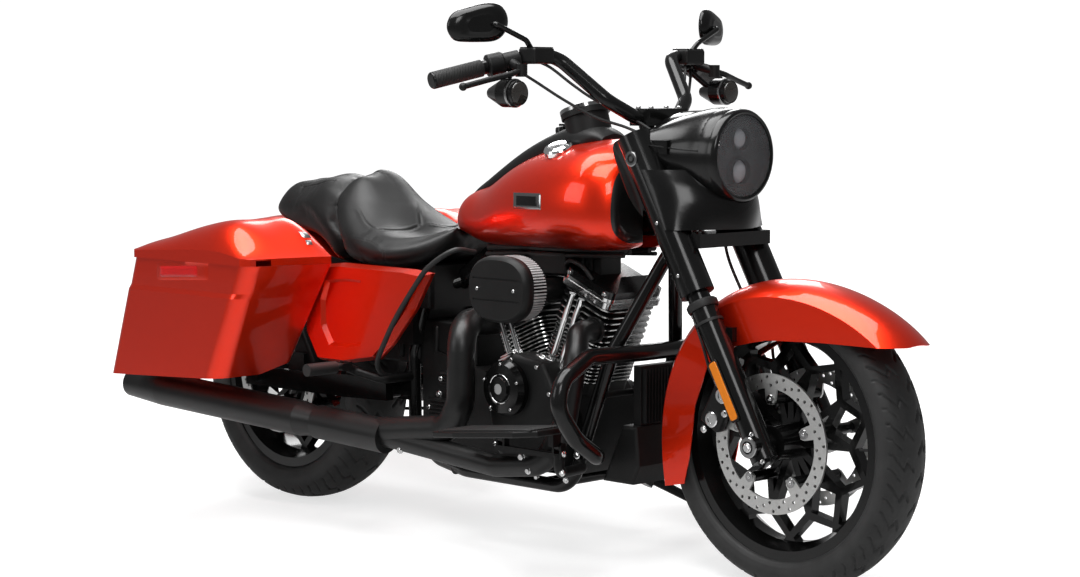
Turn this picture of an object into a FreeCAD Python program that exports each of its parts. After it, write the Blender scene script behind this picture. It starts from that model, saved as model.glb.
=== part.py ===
import FreeCAD, Part
import Sketcher
import math
import os

# Touring cruiser motorcycle, millimetres.
# Every piece is drawn on the upright machine: X forward, Y to the left, Z up, with the
# origin on the ground under the rear axle. One placement then leans it on its side stand.

os.makedirs("parts", exist_ok=True)
doc = FreeCAD.newDocument("TouringCruiser")
V = FreeCAD.Vector

# Driving dimensions
DIMENSIONS = {
    # whole machine
    "wheelbase": 1625,
    "lean_angle": 7,
    "origin_x": 729,
    "origin_y": 104,
    "rake_angle": 26,
    "fork_angle": 29.25,
    "stem_ground_x": 1795,
    "fork_half_spacing": 117,
    # tyres and wheels
    "front_tyre_radius": 319,
    "front_tyre_width": 130,
    "front_rim_radius": 241.3,
    "front_rim_width": 86,
    "rear_tyre_radius": 327.6,
    "rear_tyre_width": 180,
    "rear_rim_radius": 228.6,
    "rear_rim_width": 127,
    "flange_height": 14,
    "flange_thickness": 6,
    "rim_wall": 9,
    "rim_well_depth": 16,
    "hub_radius": 38,
    "axle_radius": 12.5,
    "bearing_clearance": 0.3,
    "spoke_thickness": 26,
    "spoke_width": 17,
    "lug_circle_radius": 95,
    "lug_radius": 12,
    "lug_count": 5,
    # brake discs and belt drive
    "disc_radius": 150,
    "disc_band": 32,
    "disc_thickness": 5,
    "front_disc_offset": 76,
    "rear_disc_offset": 96,
    "star_circle_share": 0.72,
    "disc_hole_radius": 3.6,
    "disc_hole_count": 20,
    "pulley_radius": 108,
    "pulley_width": 30,
    "pulley_offset": 98,
    "belt_thickness": 6,
    "belt_width": 26,
    "drive_pulley_radius": 52,
    "drive_pulley_x": 600,
    "drive_pulley_z": 335,
    # fork
    "slider_radius": 29,
    "fork_tube_radius": 24.5,
    "fork_cover_radius": 35,
    "lower_clamp_z": 741,
    "upper_clamp_z": 940,
    "clamp_thickness": 30,
    "axle_boss_radius": 24,
    "axle_boss_end": 150,
    "running_gap": 7,
    # frame
    "frame_tube_radius": 16,
    "backbone_radius": 24,
    "backbone_z": 742,
    "neck_radius": 36,
    "neck_bore_radius": 18,
    "neck_low_z": 778,
    "neck_high_z": 903,
    "stem_radius": 17.7,
    "cradle_half_width": 128,
    "cradle_z": 166,
    "upright_x": 505,
    "upright_half_width": 80,
    "pivot_x": 470,
    "pivot_z": 335,
    "arm_inner_y": 138,
    "arm_outer_y": 162,
    "stand_pivot_x": 1048,
    "stand_pivot_y": 172,
    "stand_pivot_z": 150,
    "stand_foot_x": 1150,
    "stand_foot_y": 336,
    # engine
    "crank_x": 955,
    "crank_z": 285,
    "vee_half_angle": 22.5,
    "cylinder_base": 148,
    "cylinder_top": 250,
    "head_top": 341,
    "rocker_top": 414,
    "barrel_radius": 60,
    "fin_count": 11,
    "head_fin_count": 6,
    "fin_thickness": 3,
    "fin_half_length": 76,
    "fin_half_width": 82,
    "fin_corner": 26,
    "crankcase_radius": 138,
    "crankcase_half_width": 96,
    "pushrod_radius": 8,
    "pushrod_y": 108,
    "cam_cover_radius": 64,
    "cam_cover_face": 205,
    "primary_face": 192,
    # exhaust
    "header_radius": 26,
    "shield_radius": 33,
    "muffler_radius": 43,
    "muffler_front_x": 395,
    # bodywork
    "sheet_wall": 2.5,
    "tank_tunnel_half_width": 34,
    "tank_tunnel_top": 793,
    "front_fender_half_width": 82,
    "front_fender_skirt": 128,
    "rear_fender_radius": 425,
    "rear_fender_half_width": 113,
    "rear_fender_skirt": 82,
    "rear_fender_centre_x": -40,
    "rear_fender_centre_z": 310,
    "bag_wall": 3.5,
    "bag_inner_y": 228,
    "bag_outer_y": 458,
    "bag_seam_z": 642,
    "lid_gap": 0.6,
    # controls and lamps
    "headlamp_radius": 101,
    "headlamp_z": 922,
    "bar_radius": 15.9,
    "grip_radius": 17.5,
    "guard_radius": 19,
    "signal_radius": 31,
    "seat_gap": 0.4,
}

sheet = doc.addObject("Spreadsheet::Sheet", "Sizes")
for row, (name, value) in enumerate(DIMENSIONS.items(), 1):
    sheet.set("A%d" % row, name)
    sheet.set("B%d" % row, str(value))
    sheet.setAlias("B%d" % row, name)
doc.recompute()


class Size(float):
    """A number that also carries the spreadsheet formula it comes from."""

    def __new__(cls, value, formula):
        size = super().__new__(cls, value)
        size.formula = formula
        return size

    def joined(self, other, sign, value, swapped=False):
        own, their = self.formula, getattr(other, "formula", repr(float(other)))
        pair = (their, own) if swapped else (own, their)
        return Size(value, "(%s %s %s)" % (pair[0], sign, pair[1]))

    def __add__(self, other):
        return self.joined(other, "+", float(self) + float(other))

    def __radd__(self, other):
        return self.joined(other, "+", float(self) + float(other), True)

    def __sub__(self, other):
        return self.joined(other, "-", float(self) - float(other))

    def __rsub__(self, other):
        return self.joined(other, "-", float(other) - float(self), True)

    def __mul__(self, other):
        return self.joined(other, "*", float(self) * float(other))

    def __rmul__(self, other):
        return self.joined(other, "*", float(self) * float(other), True)

    def __truediv__(self, other):
        return self.joined(other, "/", float(self) / float(other))

    def __neg__(self):
        return self.joined(-1.0, "*", -float(self))


class Sizes:
    """Reads each cell of the sheet by its alias."""

    def __getattr__(self, name):
        return Size(float(sheet.get(name)), "Sizes." + name)


d = Sizes()


# Placement of the leaning machine
def cos(angle):
    return math.cos(math.radians(angle))


def sin(angle):
    return math.sin(math.radians(angle))


# The leaning machine stands on its tyres' shoulders, given as shares of the tyre's
# half width and height
SHOULDER_HALF, SHOULDER_DROP = 0.38, 0.03
lift = (SHOULDER_HALF * float(d.rear_tyre_width) / 2 * sin(d.lean_angle)
        - SHOULDER_DROP * float(d.rear_tyre_radius - d.rear_rim_radius) * cos(d.lean_angle))
LEAN = FreeCAD.Placement(
    V(-d.origin_x, -d.origin_y, lift), FreeCAD.Rotation(V(1, 0, 0), -float(d.lean_angle))
)
pieces = []


def register(piece, at=V(0, 0, 0), turn=None):
    """Name a finished piece as a node and lean it with the machine."""
    local = FreeCAD.Placement(at, turn or FreeCAD.Rotation())
    pieces.append((piece, local))
    return piece


# Drawing helpers
def bind(feature, path, value):
    if isinstance(value, Size):
        feature.setExpression(path, value.formula)


def sketch_on(body, role, name):
    plane = [item for item in body.Origin.OriginFeatures if item.Role == role][0]
    sketch = body.newObject("Sketcher::SketchObject", name)
    sketch.AttachmentSupport = [(plane, "")]
    sketch.MapMode = "FlatFace"
    return sketch


def draw_outline(sketch, points):
    """A closed outline of straight runs, each corner held by two bound dimensions."""
    first = sketch.GeometryCount
    count = len(points)
    for i in range(count):
        start, end = points[i], points[(i + 1) % count]
        line = Part.LineSegment(V(start[0], start[1], 0), V(end[0], end[1], 0))
        sketch.addGeometry(line, False)
    for i in range(count):
        after = first + (i + 1) % count
        sketch.addConstraint(Sketcher.Constraint("Coincident", first + i, 2, after, 1))
    for i, point in enumerate(points):
        for kind, value in zip(("DistanceX", "DistanceY"), point):
            held = Sketcher.Constraint(kind, -1, 1, first + i, 1, float(value))
            number = sketch.addConstraint(held)
            bind(sketch, "Constraints[%d]" % number, value)


def draw_circle(sketch, centre, radius):
    number = sketch.addGeometry(Part.Circle(V(centre[0], centre[1], 0), V(0, 0, 1), float(radius)))
    for kind, value in zip(("DistanceX", "DistanceY"), centre):
        held = sketch.addConstraint(Sketcher.Constraint(kind, -1, 1, number, 3, float(value)))
        bind(sketch, "Constraints[%d]" % held, value)
    held = sketch.addConstraint(Sketcher.Constraint("Radius", number, float(radius)))
    bind(sketch, "Constraints[%d]" % held, radius)


def new_body(label):
    return doc.addObject("PartDesign::Body", label)


def revolve(body, name, points, role="YZ_Plane", axis="H_Axis"):
    """Turn a closed outline about the sketch's own axis."""
    sketch = sketch_on(body, role, name + "_outline")
    draw_outline(sketch, points)
    feature = body.newObject("PartDesign::Revolution", name)
    feature.Profile = sketch
    feature.ReferenceAxis = (sketch, [axis])
    feature.Angle = 360
    return feature


def pad(body, name, role, length, outlines=(), circles=(), shift=0, symmetric=True):
    """Thicken closed outlines and circles, both ways from the sketch or one way only."""
    sketch = sketch_on(body, role, name + "_sketch")
    for points in outlines:
        draw_outline(sketch, points)
    for centre, radius in circles:
        draw_circle(sketch, centre, radius)
    if shift:
        sketch.AttachmentOffset = FreeCAD.Placement(V(0, 0, float(shift)), FreeCAD.Rotation())
        bind(sketch, "AttachmentOffset.Base.z", shift)
    feature = body.newObject("PartDesign::Pad", name)
    feature.Profile = sketch
    feature.Length = float(length)
    bind(feature, "Length", length)
    if symmetric:
        feature.SideType = "Symmetric"
    return feature


def repeat_about(body, name, features, role, count):
    """Polar pattern of features about one of the body's own axes."""
    axis = [item for item in body.Origin.OriginFeatures if item.Role == role][0]
    pattern = body.newObject("PartDesign::PolarPattern", name)
    pattern.Originals = features
    pattern.Axis = (axis, [""])
    pattern.Angle = 360
    pattern.Occurrences = int(count)
    bind(pattern, "Occurrences", count)
    body.Tip = pattern
    return pattern


def solid(label, shape, at=V(0, 0, 0), turn=None):
    """A piece whose shape comes from swept, lofted or trimmed solids."""
    piece = doc.addObject("Part::Feature", label)
    own = shape.Placement
    piece.Shape = shape
    local = FreeCAD.Placement(at, turn or FreeCAD.Rotation()).multiply(own)
    return register(piece, local.Base, local.Rotation)


def rod(start, end, radius):
    start, end = V(*start), V(*end)
    run = end - start
    return Part.makeCylinder(float(radius), run.Length, start, run)


def block(x, y, z):
    """A box from three pairs of limits."""
    corner = V(x[0], y[0], z[0])
    return Part.makeBox(x[1] - x[0], y[1] - y[0], z[1] - z[0], corner)


def fused(shapes):
    result = shapes[0]
    for other in shapes[1:]:
        result = result.fuse(other)
    return result.removeSplitter()


def biggest(shape):
    """The largest solid, where a cut also leaves slivers."""
    return max(shape.Solids, key=lambda item: item.Volume)


def mirrored(shape):
    """The same piece on the other side of the machine."""
    return shape.mirror(V(0, 0, 0), V(0, 1, 0))


def bent_path(points, radius):
    """Straight runs joined by tangent arcs of one radius."""
    corners = [V(*point) for point in points]
    edges = []
    start = corners[0]
    for before, corner, after in zip(corners, corners[1:], corners[2:]):
        into, out = (corner - before).normalize(), (after - corner).normalize()
        turn = into.getAngle(out)
        reach = radius * math.tan(turn / 2)
        shortest = 0.48 * min((corner - before).Length, (after - corner).Length)
        reach = min(reach, shortest)
        bend = reach / math.tan(turn / 2)
        first, last = corner - into * reach, corner + out * reach
        inward = (out - into).normalize()
        middle = corner + inward * (bend / math.cos(turn / 2) - bend)
        edges.append(Part.LineSegment(start, first).toShape())
        edges.append(Part.Arc(first, middle, last).toShape())
        start = last
    edges.append(Part.LineSegment(start, corners[-1]).toShape())
    return Part.Wire(edges)


def bent_tube(points, tube_radius, bend_radius, wall=0):
    """A round tube, or a solid bar where no wall is given, along a bent path."""
    path = bent_path(points, bend_radius)
    start, heading = V(*points[0]), V(*points[1]) - V(*points[0])

    def swept(radius):
        ring = Part.Wire(Part.Circle(start, heading, float(radius)).toShape())
        return path.makePipeShell([ring], True, False)

    if wall:
        return swept(tube_radius).cut(swept(tube_radius - wall))
    return swept(tube_radius)


def mirrored_ring(x, half_outline):
    """A closed smooth section at one station, drawn from its right half, top to bottom."""
    left = [V(x, -y, z) for y, z in half_outline]
    right = [V(x, y, z) for y, z in reversed(half_outline[1:-1])]
    curve = Part.BSplineCurve()
    curve.interpolate(Points=left + right, PeriodicFlag=True)
    return Part.Wire(curve.toShape())


def loft(rings):
    return Part.makeLoft(rings, True, False)


def prism(points, y_from, y_to):
    """A side outline given in X and Z, extruded across the machine."""
    ring = Part.makePolygon([V(x, y_from, z) for x, z in points + points[:1]])
    return Part.Face(ring).extrude(V(0, y_to - y_from, 0))


def steering_x(z):
    """Where the steering axis lies at a height."""
    return float(d.stem_ground_x) - z * math.tan(math.radians(d.rake_angle))


def fork_x(z):
    """Where the fork legs' axis lies at a height."""
    slope = math.tan(math.radians(d.fork_angle))
    return float(d.wheelbase) - slope * (z - float(d.front_tyre_radius))


FRONT_AXLE = V(d.wheelbase, 0, d.front_tyre_radius)
REAR_AXLE = V(0, 0, d.rear_tyre_radius)
SIDES = (("right", -1), ("left", 1))


# Tyres: twelve flats from bead to bead, seated on the rim between its flanges
def tyre(label, radius, width, rim_radius, rim_width, at):
    body = new_body(label)
    half = width / 2
    height = radius - rim_radius
    bead = rim_width / 2
    right_side = [
        (bead - d.seat_gap, rim_radius + d.seat_gap),
        (bead - d.seat_gap, rim_radius + d.flange_height + d.seat_gap),
        (bead + d.flange_thickness + 2, rim_radius + d.flange_height + d.seat_gap),
        (half * 0.96, rim_radius + height * 0.36),
        (half, rim_radius + height * 0.5),
        (half * 0.94, rim_radius + height * 0.68),
        (half * 0.72, rim_radius + height * 0.87),
        (half * SHOULDER_HALF, rim_radius + height * (1 - SHOULDER_DROP)),
    ]
    left_side = [(-y, r) for y, r in reversed(right_side)]
    outline = right_side + [(0, radius)] + left_side
    revolve(body, label + "_carcass", outline)
    register(body, at)


tyre("front_tyre", d.front_tyre_radius, d.front_tyre_width, d.front_rim_radius,
     d.front_rim_width, FRONT_AXLE)
tyre("rear_tyre", d.rear_tyre_radius, d.rear_tyre_width, d.rear_rim_radius,
     d.rear_rim_width, REAR_AXLE)


# Cast wheels: rim, hub and a lattice whose crossed arms run from each disc lug
def lattice_arm(start_angle, end_angle, start_radius, end_radius):
    """One arm between two points given by angle and radius about the wheel's axis."""
    start = V(cos(start_angle), 0, sin(start_angle)) * start_radius
    end = V(cos(end_angle), 0, sin(end_angle)) * end_radius
    along = (end - start).normalize()
    side = V(-along.z, 0, along.x) * (float(d.spoke_width) / 2)
    front = V(0, float(d.spoke_thickness) / 2, 0)
    corners = [start + side, end + side * 0.8, end - side * 0.8, start - side]
    ring = Part.makePolygon([corner - front for corner in corners + corners[:1]])
    return Part.Face(ring).extrude(front * 2)


def cast_wheel(label, rim_radius, rim_width, hub_half, disc_side, pulley_side, at):
    """disc_side and pulley_side: where the lug faces end, either side of the middle."""
    half = float(rim_width) / 2
    seat = float(rim_radius)
    lip = half + float(d.flange_thickness)
    top = seat + float(d.flange_height)
    wall = float(d.rim_wall)
    well = seat - float(d.rim_well_depth)
    outside = [
        (-lip, top), (-half, top), (-half, seat), (-half * 0.7, seat), (-half * 0.45, well),
        (half * 0.45, well), (half * 0.7, seat), (half, seat), (half, top), (lip, top),
    ]
    inside = [(lip, seat - wall), (half * 0.4, well - wall), (-half * 0.4, well - wall),
              (-lip, seat - wall)]
    ring = Part.makePolygon([V(0, y, r) for y, r in outside + inside + outside[:1]])
    shapes = [Part.Face(ring).revolve(V(0, 0, 0), V(0, 1, 0), 360)]
    hub = Part.makeCylinder(float(d.hub_radius), 2 * hub_half, V(0, -hub_half, 0), V(0, 1, 0))
    shapes.append(hub)
    count = int(d.lug_count)
    step = 360.0 / count
    lug_ring = float(d.lug_circle_radius)
    star_ring = float(d.star_circle_share) * well
    for k in range(count):
        angle = 90 + k * step
        shapes.append(lattice_arm(angle, angle, 20, lug_ring))
        for turn in (-1, 1):
            star = angle + turn * step / 4
            shapes.append(lattice_arm(angle, star, lug_ring, star_ring))
            shapes.append(lattice_arm(angle + turn * step / 3, star, 24, star_ring))
            for reach in (-1, 1):
                shapes.append(lattice_arm(star, star + reach * 0.3 * step, star_ring, well - 2))
        centre = V(cos(angle), 0, sin(angle)) * lug_ring
        length = disc_side + pulley_side
        foot = centre - V(0, disc_side, 0)
        shapes.append(Part.makeCylinder(float(d.lug_radius), length, foot, V(0, 1, 0)))
    wheel = fused(shapes)
    bore = float(d.axle_radius + d.bearing_clearance)
    cutter = Part.makeCylinder(bore, 4 * hub_half, V(0, -2 * hub_half, 0), V(0, 1, 0))
    solid(label, wheel.cut(cutter), at)


front_hub_half = float(d.front_disc_offset) + 4
rear_hub_half = float(d.rear_disc_offset) - 6
cast_wheel("front_rim", d.front_rim_radius, d.front_rim_width, front_hub_half,
           float(d.front_disc_offset), float(d.front_disc_offset), FRONT_AXLE)
cast_wheel("rear_rim", d.rear_rim_radius, d.rear_rim_width, rear_hub_half,
           float(d.rear_disc_offset), float(d.pulley_offset), REAR_AXLE)


# Brake discs: a perforated band carried by five inward tongues
def disc_body(name):
    body = new_body(name)
    inner = d.disc_radius - d.disc_band
    pad(body, name + "_band", "XZ_Plane", d.disc_thickness,
        circles=[((0, 0), d.disc_radius), ((0, 0), inner)])
    tongue = [
        (-16, inner + 3), (-13, d.lug_circle_radius - 2), (-8, d.lug_circle_radius - 11),
        (8, d.lug_circle_radius - 11), (13, d.lug_circle_radius - 2), (16, inner + 3),
    ]
    lug = pad(body, name + "_tongue", "XZ_Plane", d.disc_thickness, outlines=[tongue])
    doc.recompute()
    repeat_about(body, name + "_tongues", [lug], "Y_Axis", d.lug_count)
    doc.recompute()
    sketch = sketch_on(body, "XZ_Plane", name + "_holes_sketch")
    rows = ((0.22, 0), (0.5, 7), (0.78, 14))
    for share, angle in rows:
        radius = inner + d.disc_band * share
        draw_circle(sketch, (radius * sin(angle), radius * cos(angle)), d.disc_hole_radius)
    pocket = body.newObject("PartDesign::Pocket", name + "_hole")
    pocket.Profile = sketch
    pocket.Type = "ThroughAll"
    pocket.SideType = "Symmetric"
    doc.recompute()
    repeat_about(body, name + "_holes", [pocket], "Y_Axis", d.disc_hole_count)
    return body


def disc_pair(label, offsets, at):
    discs = []
    for number, offset in enumerate(offsets):
        body = disc_body("%s_%d" % (label, number))
        body.Placement = FreeCAD.Placement(V(0, offset, 0), FreeCAD.Rotation())
        discs.append(body)
    doc.recompute()
    group = doc.addObject("Part::Compound", label)
    group.Links = discs
    register(group, at)


half_disc = float(d.disc_thickness) / 2
disc_pair("front_discs", [-(float(d.front_disc_offset) + half_disc),
                          float(d.front_disc_offset) + half_disc], FRONT_AXLE)
disc_pair("rear_disc", [-(float(d.rear_disc_offset) + half_disc)], REAR_AXLE)

# Rear pulley and drive belt on the left
pulley = new_body("rear_pulley")
revolve(pulley, "pulley_rim", [
    (d.pulley_offset, d.lug_circle_radius - 14),
    (d.pulley_offset + 6, d.lug_circle_radius - 14),
    (d.pulley_offset + 6, d.pulley_radius - 10),
    (d.pulley_offset + d.pulley_width, d.pulley_radius - 10),
    (d.pulley_offset + d.pulley_width, d.pulley_radius),
    (d.pulley_offset, d.pulley_radius),
])
register(pulley, REAR_AXLE)


def belt_loop():
    """Two straight runs wrapped round the rear pulley and the gearbox pulley."""
    front = V(d.drive_pulley_x, 0, d.drive_pulley_z - REAR_AXLE.z)
    big, small = float(d.pulley_radius), float(d.drive_pulley_radius)
    span = math.hypot(front.x, front.z)
    heading = math.degrees(math.atan2(front.z, front.x))
    spread = math.degrees(math.acos((big - small) / span))

    def loop(extra):
        def at(centre, radius, angle):
            return centre + V(cos(angle), 0, sin(angle)) * (radius + extra)
        up, down = heading + spread, heading - spread
        zero = V(0, 0, 0)
        edges = [
            Part.Arc(at(zero, big, up), at(zero, big, heading + 180), at(zero, big, down)),
            Part.LineSegment(at(zero, big, down), at(front, small, down)),
            Part.Arc(at(front, small, down), at(front, small, heading), at(front, small, up)),
            Part.LineSegment(at(front, small, up), at(zero, big, up)),
        ]
        return Part.Face(Part.Wire([edge.toShape() for edge in edges]))

    inner = 0.3
    band = loop(inner + float(d.belt_thickness)).cut(loop(inner))
    start = float(d.pulley_offset) + 2
    return band.extrude(V(0, float(d.belt_width), 0)).translated(V(0, start, 0))


solid("drive_belt", belt_loop(), REAR_AXLE)


# Frame: neck, backbone and a cradle of two bent tubes
def neck_point(z):
    return (steering_x(z), 0, z)


STAND_PIVOT = V(d.stand_pivot_x, d.stand_pivot_y, d.stand_pivot_z)
STAND_GROUND = d.stand_foot_y * math.tan(math.radians(d.lean_angle)) - lift / cos(d.lean_angle)
STAND_FOOT = V(d.stand_foot_x, d.stand_foot_y, STAND_GROUND)
STAND_FOLDED = V(-0.97, 0.24, -0.02)
STAND_AXIS = (STAND_FOOT + V(0, 0, 8) - STAND_PIVOT).cross(STAND_FOLDED).normalize()
STAND_EYE_RADIUS, STAND_EYE_HALF = 20, 12


def axial(start, length, radius, centre, axis):
    """A cylinder along an axis, from a distance off its centre."""
    return Part.makeCylinder(radius, length, centre + axis * start, axis)


def stand_bracket():
    """Two ears on the left lower tube and the pin that the stand swings on."""
    ear = 7
    shapes = [axial(-STAND_EYE_HALF - ear, 2 * (STAND_EYE_HALF + ear), 8, STAND_PIVOT, STAND_AXIS)]
    for start in (STAND_EYE_HALF + 0.3, -STAND_EYE_HALF - 0.3 - ear):
        shapes.append(axial(start, ear, 17, STAND_PIVOT, STAND_AXIS))
        arm = block((-17, 17), (-34, 0), (start, start + ear))
        arm.Placement = FreeCAD.Placement(STAND_PIVOT, FreeCAD.Rotation(V(0, 0, 1), STAND_AXIS))
        shapes.append(arm)
    return fused(shapes)


def frame_shape():
    low, high = float(d.neck_low_z), float(d.neck_high_z)
    neck = rod(neck_point(low), neck_point(high), d.neck_radius)
    radius = float(d.frame_tube_radius)
    half = float(d.cradle_half_width)
    base = float(d.cradle_z)
    spine_z = float(d.backbone_z)
    middle = (low + high) / 2
    spine = bent_tube([(steering_x(middle) - 10, 0, middle - 12), (1240, 0, spine_z + 20),
                       (820, 0, spine_z), (690, 0, 665), (590, 0, 600)], d.backbone_radius, 120)
    shapes = [neck, spine]
    upright_x, upright_y = float(d.upright_x), float(d.upright_half_width)
    pivot_x, pivot_z = float(d.pivot_x), float(d.pivot_z)
    for side in (-1, 1):
        cradle = [
            (steering_x(low + 25) - 20, side * 8, low + 25), (1270, side * 14, 695),
            (1190, side * 105, 480), (1130, side * 124, 290), (1085, side * half, base),
            (740, side * half, base), (590, side * upright_y, base + 6),
            (upright_x + 3, side * upright_y, 240), (upright_x, side * upright_y, 420),
            (550, side * upright_y, 570), (600, side * 14, 600),
        ]
        shapes.append(bent_tube(cradle, radius, 70))
        inner, outer = side * (upright_y - 16), side * (upright_y + 17)
        shapes.append(rod((pivot_x, inner, pivot_z), (pivot_x, outer, pivot_z), 27))
        shapes.append(block((pivot_x, upright_x), sorted((inner, outer)),
                            (pivot_z - 27, pivot_z + 27)))
    for x in (1000, 700):
        shapes.append(rod((x, -half, base), (x, half, base), radius * 0.9))
    shapes.append(rod((upright_x, -upright_y, 400), (upright_x, upright_y, 400), radius * 0.9))
    shapes.append(stand_bracket())
    frame = fused(shapes)
    stretch = high - low
    bore_low, bore_high = neck_point(low - stretch), neck_point(high + stretch)
    return frame.cut(rod(bore_low, bore_high, d.neck_bore_radius))


frame_body = frame_shape()
solid("frame", frame_body)


# Engine: crankcase, gearbox, finned barrels and heads in a narrow vee
CRANK = V(d.crank_x, 0, d.crank_z)


def on_cylinder(shape, side):
    """Carry a piece drawn along +Z to the front (1) or rear (-1) cylinder's axis."""
    lean = FreeCAD.Rotation(V(0, 1, 0), side * float(d.vee_half_angle))
    copy = shape.copy()
    copy.Placement = FreeCAD.Placement(CRANK, lean).multiply(copy.Placement)
    return copy


def half_of_vee(shape, side):
    """Trim a piece at the middle of the vee, with a slim gap to its twin."""
    low, high = sorted((CRANK.x + side * 1.5, CRANK.x + side * 400))
    return shape.common(block((low, high), (-200, 200), (CRANK.z - 100, CRANK.z + 600)))


def rounded_plate(half_x, half_y, corner, low, high):
    """A flat plate with rounded corners between two heights."""
    plate = Part.makeBox(2 * half_x, 2 * half_y, high - low, V(-half_x, -half_y, low))
    upright = [edge for edge in plate.Edges
               if abs(edge.Vertexes[0].Z - edge.Vertexes[1].Z) > 0.5 * (high - low)]
    return plate.makeFillet(corner, upright)


def finned(low, high, count, core_radius, margin):
    """A round core with evenly spaced fins."""
    shapes = [Part.makeCylinder(core_radius, high - low, V(0, 0, low))]
    pitch = (high - low) / count
    thick = float(d.fin_thickness)
    for k in range(count):
        z = low + (k + 0.5) * pitch - thick / 2
        fin = rounded_plate(float(d.fin_half_length) - margin, float(d.fin_half_width) - margin,
                            float(d.fin_corner), z, z + thick)
        shapes.append(fin)
    result = shapes[0]
    return result.multiFuse(shapes[1:])


case_top = float(d.cylinder_base)
barrel_top = float(d.cylinder_top)
barrel = finned(case_top, barrel_top - 0.3, int(d.fin_count), float(d.barrel_radius), 0)
solid("cylinders", Part.makeCompound(
    [half_of_vee(on_cylinder(barrel, side), side) for side in (1, -1)]))

head = finned(barrel_top, float(d.head_top) - 0.3, int(d.head_fin_count),
              float(d.barrel_radius) + 8, -2)
heads = Part.makeCompound([on_cylinder(head, 1), on_cylinder(head, -1)])
solid("cylinder_heads", heads)


def rocker_box():
    """Gasket strip and a cover with a bevelled top."""
    low, high = float(d.head_top), float(d.rocker_top)
    half_x, half_y = float(d.fin_half_length), float(d.fin_half_width) + 8
    strip = rounded_plate(half_x + 2, half_y + 2, 14, low, low + 14)
    cover = rounded_plate(half_x, half_y, 20, low + 14, low + 40)
    top = loft([
        Part.Wire(rounded_plate(half_x, half_y, 20, low + 39, low + 40).Faces[-1].OuterWire),
        Part.Wire(rounded_plate(half_x - 16, half_y - 20, 14, high - 1, high).Faces[-1].OuterWire),
    ])
    return fused([strip, cover, top])


cover = rocker_box()
rocker_covers = Part.makeCompound([on_cylinder(cover, 1), on_cylinder(cover, -1)])
solid("rocker_boxes", rocker_covers)


def crankcase_shape():
    half = float(d.crankcase_half_width)
    drum = Part.makeCylinder(float(d.crankcase_radius), 2 * half,
                             V(CRANK.x, -half, CRANK.z), V(0, 1, 0))
    belt_side = float(d.pulley_offset + d.pulley_width) + 1.7
    shapes = [drum, rod((CRANK.x, half - 1, CRANK.z), (CRANK.x, belt_side, CRANK.z), 92)]
    gear = (float(d.drive_pulley_x), float(d.drive_pulley_z))
    shapes.append(rod((gear[0], 80, gear[1]), (gear[0], belt_side, gear[1]), 22))
    shapes.append(rod((gear[0], d.pulley_offset, gear[1]), (gear[0], belt_side - 2, gear[1]),
                      d.drive_pulley_radius))
    for side in (1, -1):
        deck = rounded_plate(72, 78, 20, 60, case_top - 0.3)
        shapes.append(half_of_vee(on_cylinder(deck, side), side))
    gearbox = prism([(CRANK.x - 20, 190), (600, 200), (542, 250), (542, 400), (590, 432),
                     (760, 400), (800, 340)], -86, 86)
    shapes.append(gearbox)
    gear_case = prism([(CRANK.x - 85, 240), (CRANK.x - 100, 330), (CRANK.x - 85, 430),
                       (CRANK.x - 20, 462), (CRANK.x + 75, 448), (CRANK.x + 118, 380),
                       (CRANK.x + 128, 290), (CRANK.x + 90, 205), (CRANK.x, 178)],
                      -170, -half + 1)
    edges = [edge for edge in gear_case.Edges if edge.BoundBox.YMax < -169]
    shapes.append(gear_case.makeFillet(14, edges))
    case = fused(shapes)
    cradle_gap = block((400, 1400), (-200, 200), (0, float(d.cradle_z + d.frame_tube_radius) + 3))
    return case.cut(cradle_gap)


case = crankcase_shape()
solid("crankcase", case)

cam = new_body("cam_cover")
revolve(cam, "cam_dome", [
    (-170, 0), (-170, d.cam_cover_radius), (-184, d.cam_cover_radius),
    (-(d.cam_cover_face - 8), d.cam_cover_radius - 8), (-(d.cam_cover_face - 4), 36),
    (-(d.cam_cover_face - 7), 33), (-(d.cam_cover_face - 7), 29), (-d.cam_cover_face, 26),
    (-d.cam_cover_face, 0),
])
register(cam, V(CRANK.x - 28, 0, 383))


def pushrods():
    """Four tubes rising from two lifter blocks to the heads, right side."""
    y = -float(d.pushrod_y)
    shapes = []
    for side in (1, -1):
        base = on_cylinder(rounded_plate(30, 17, 6, 126, 162), side)
        base.translate(V(0, y - 5, 0))
        group = [base]
        for shift in (-15, 15):
            tube = Part.makeCylinder(float(d.pushrod_radius), 340 - 150, V(shift, y - 2, 150),
                                     V(0, 0, 1))
            cup = Part.makeCylinder(float(d.pushrod_radius) + 3, 26, V(shift, y - 2, 160))
            group += [on_cylinder(tube, side), on_cylinder(cup, side)]
        shapes.append(fused(group))
    return Part.makeCompound([shape.cut(case) for shape in shapes])


solid("pushrod_tubes", pushrods())


def primary_shape():
    """Long cover over the primary drive with its round clutch lid, left side."""
    inner = float(d.pulley_offset + d.pulley_width) + 2
    outer = float(d.primary_face)
    rear_x, rear_z = 668, 307
    front_radius, rear_radius = 98, 118
    front = Part.makeCylinder(front_radius, outer - inner - 12, V(CRANK.x, inner, CRANK.z), V(0, 1, 0))
    rear = Part.makeCylinder(rear_radius, outer - inner - 12, V(rear_x, inner, rear_z), V(0, 1, 0))
    web = prism([(CRANK.x, CRANK.z + front_radius - 0.5), (CRANK.x, CRANK.z - front_radius + 0.5),
                 (rear_x, rear_z - rear_radius + 0.5), (rear_x, rear_z + rear_radius - 0.5)],
                inner, outer - 12)
    body = fused([front, rear, web])
    rim = [edge for edge in body.Edges if edge.BoundBox.YMin > outer - 13]
    body = body.makeFillet(10, rim)
    lid = Part.makeCone(86, 78, 12, V(rear_x, outer - 12, rear_z), V(0, 1, 0))
    return fused([body, lid])


solid("primary_cover", primary_shape())

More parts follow.
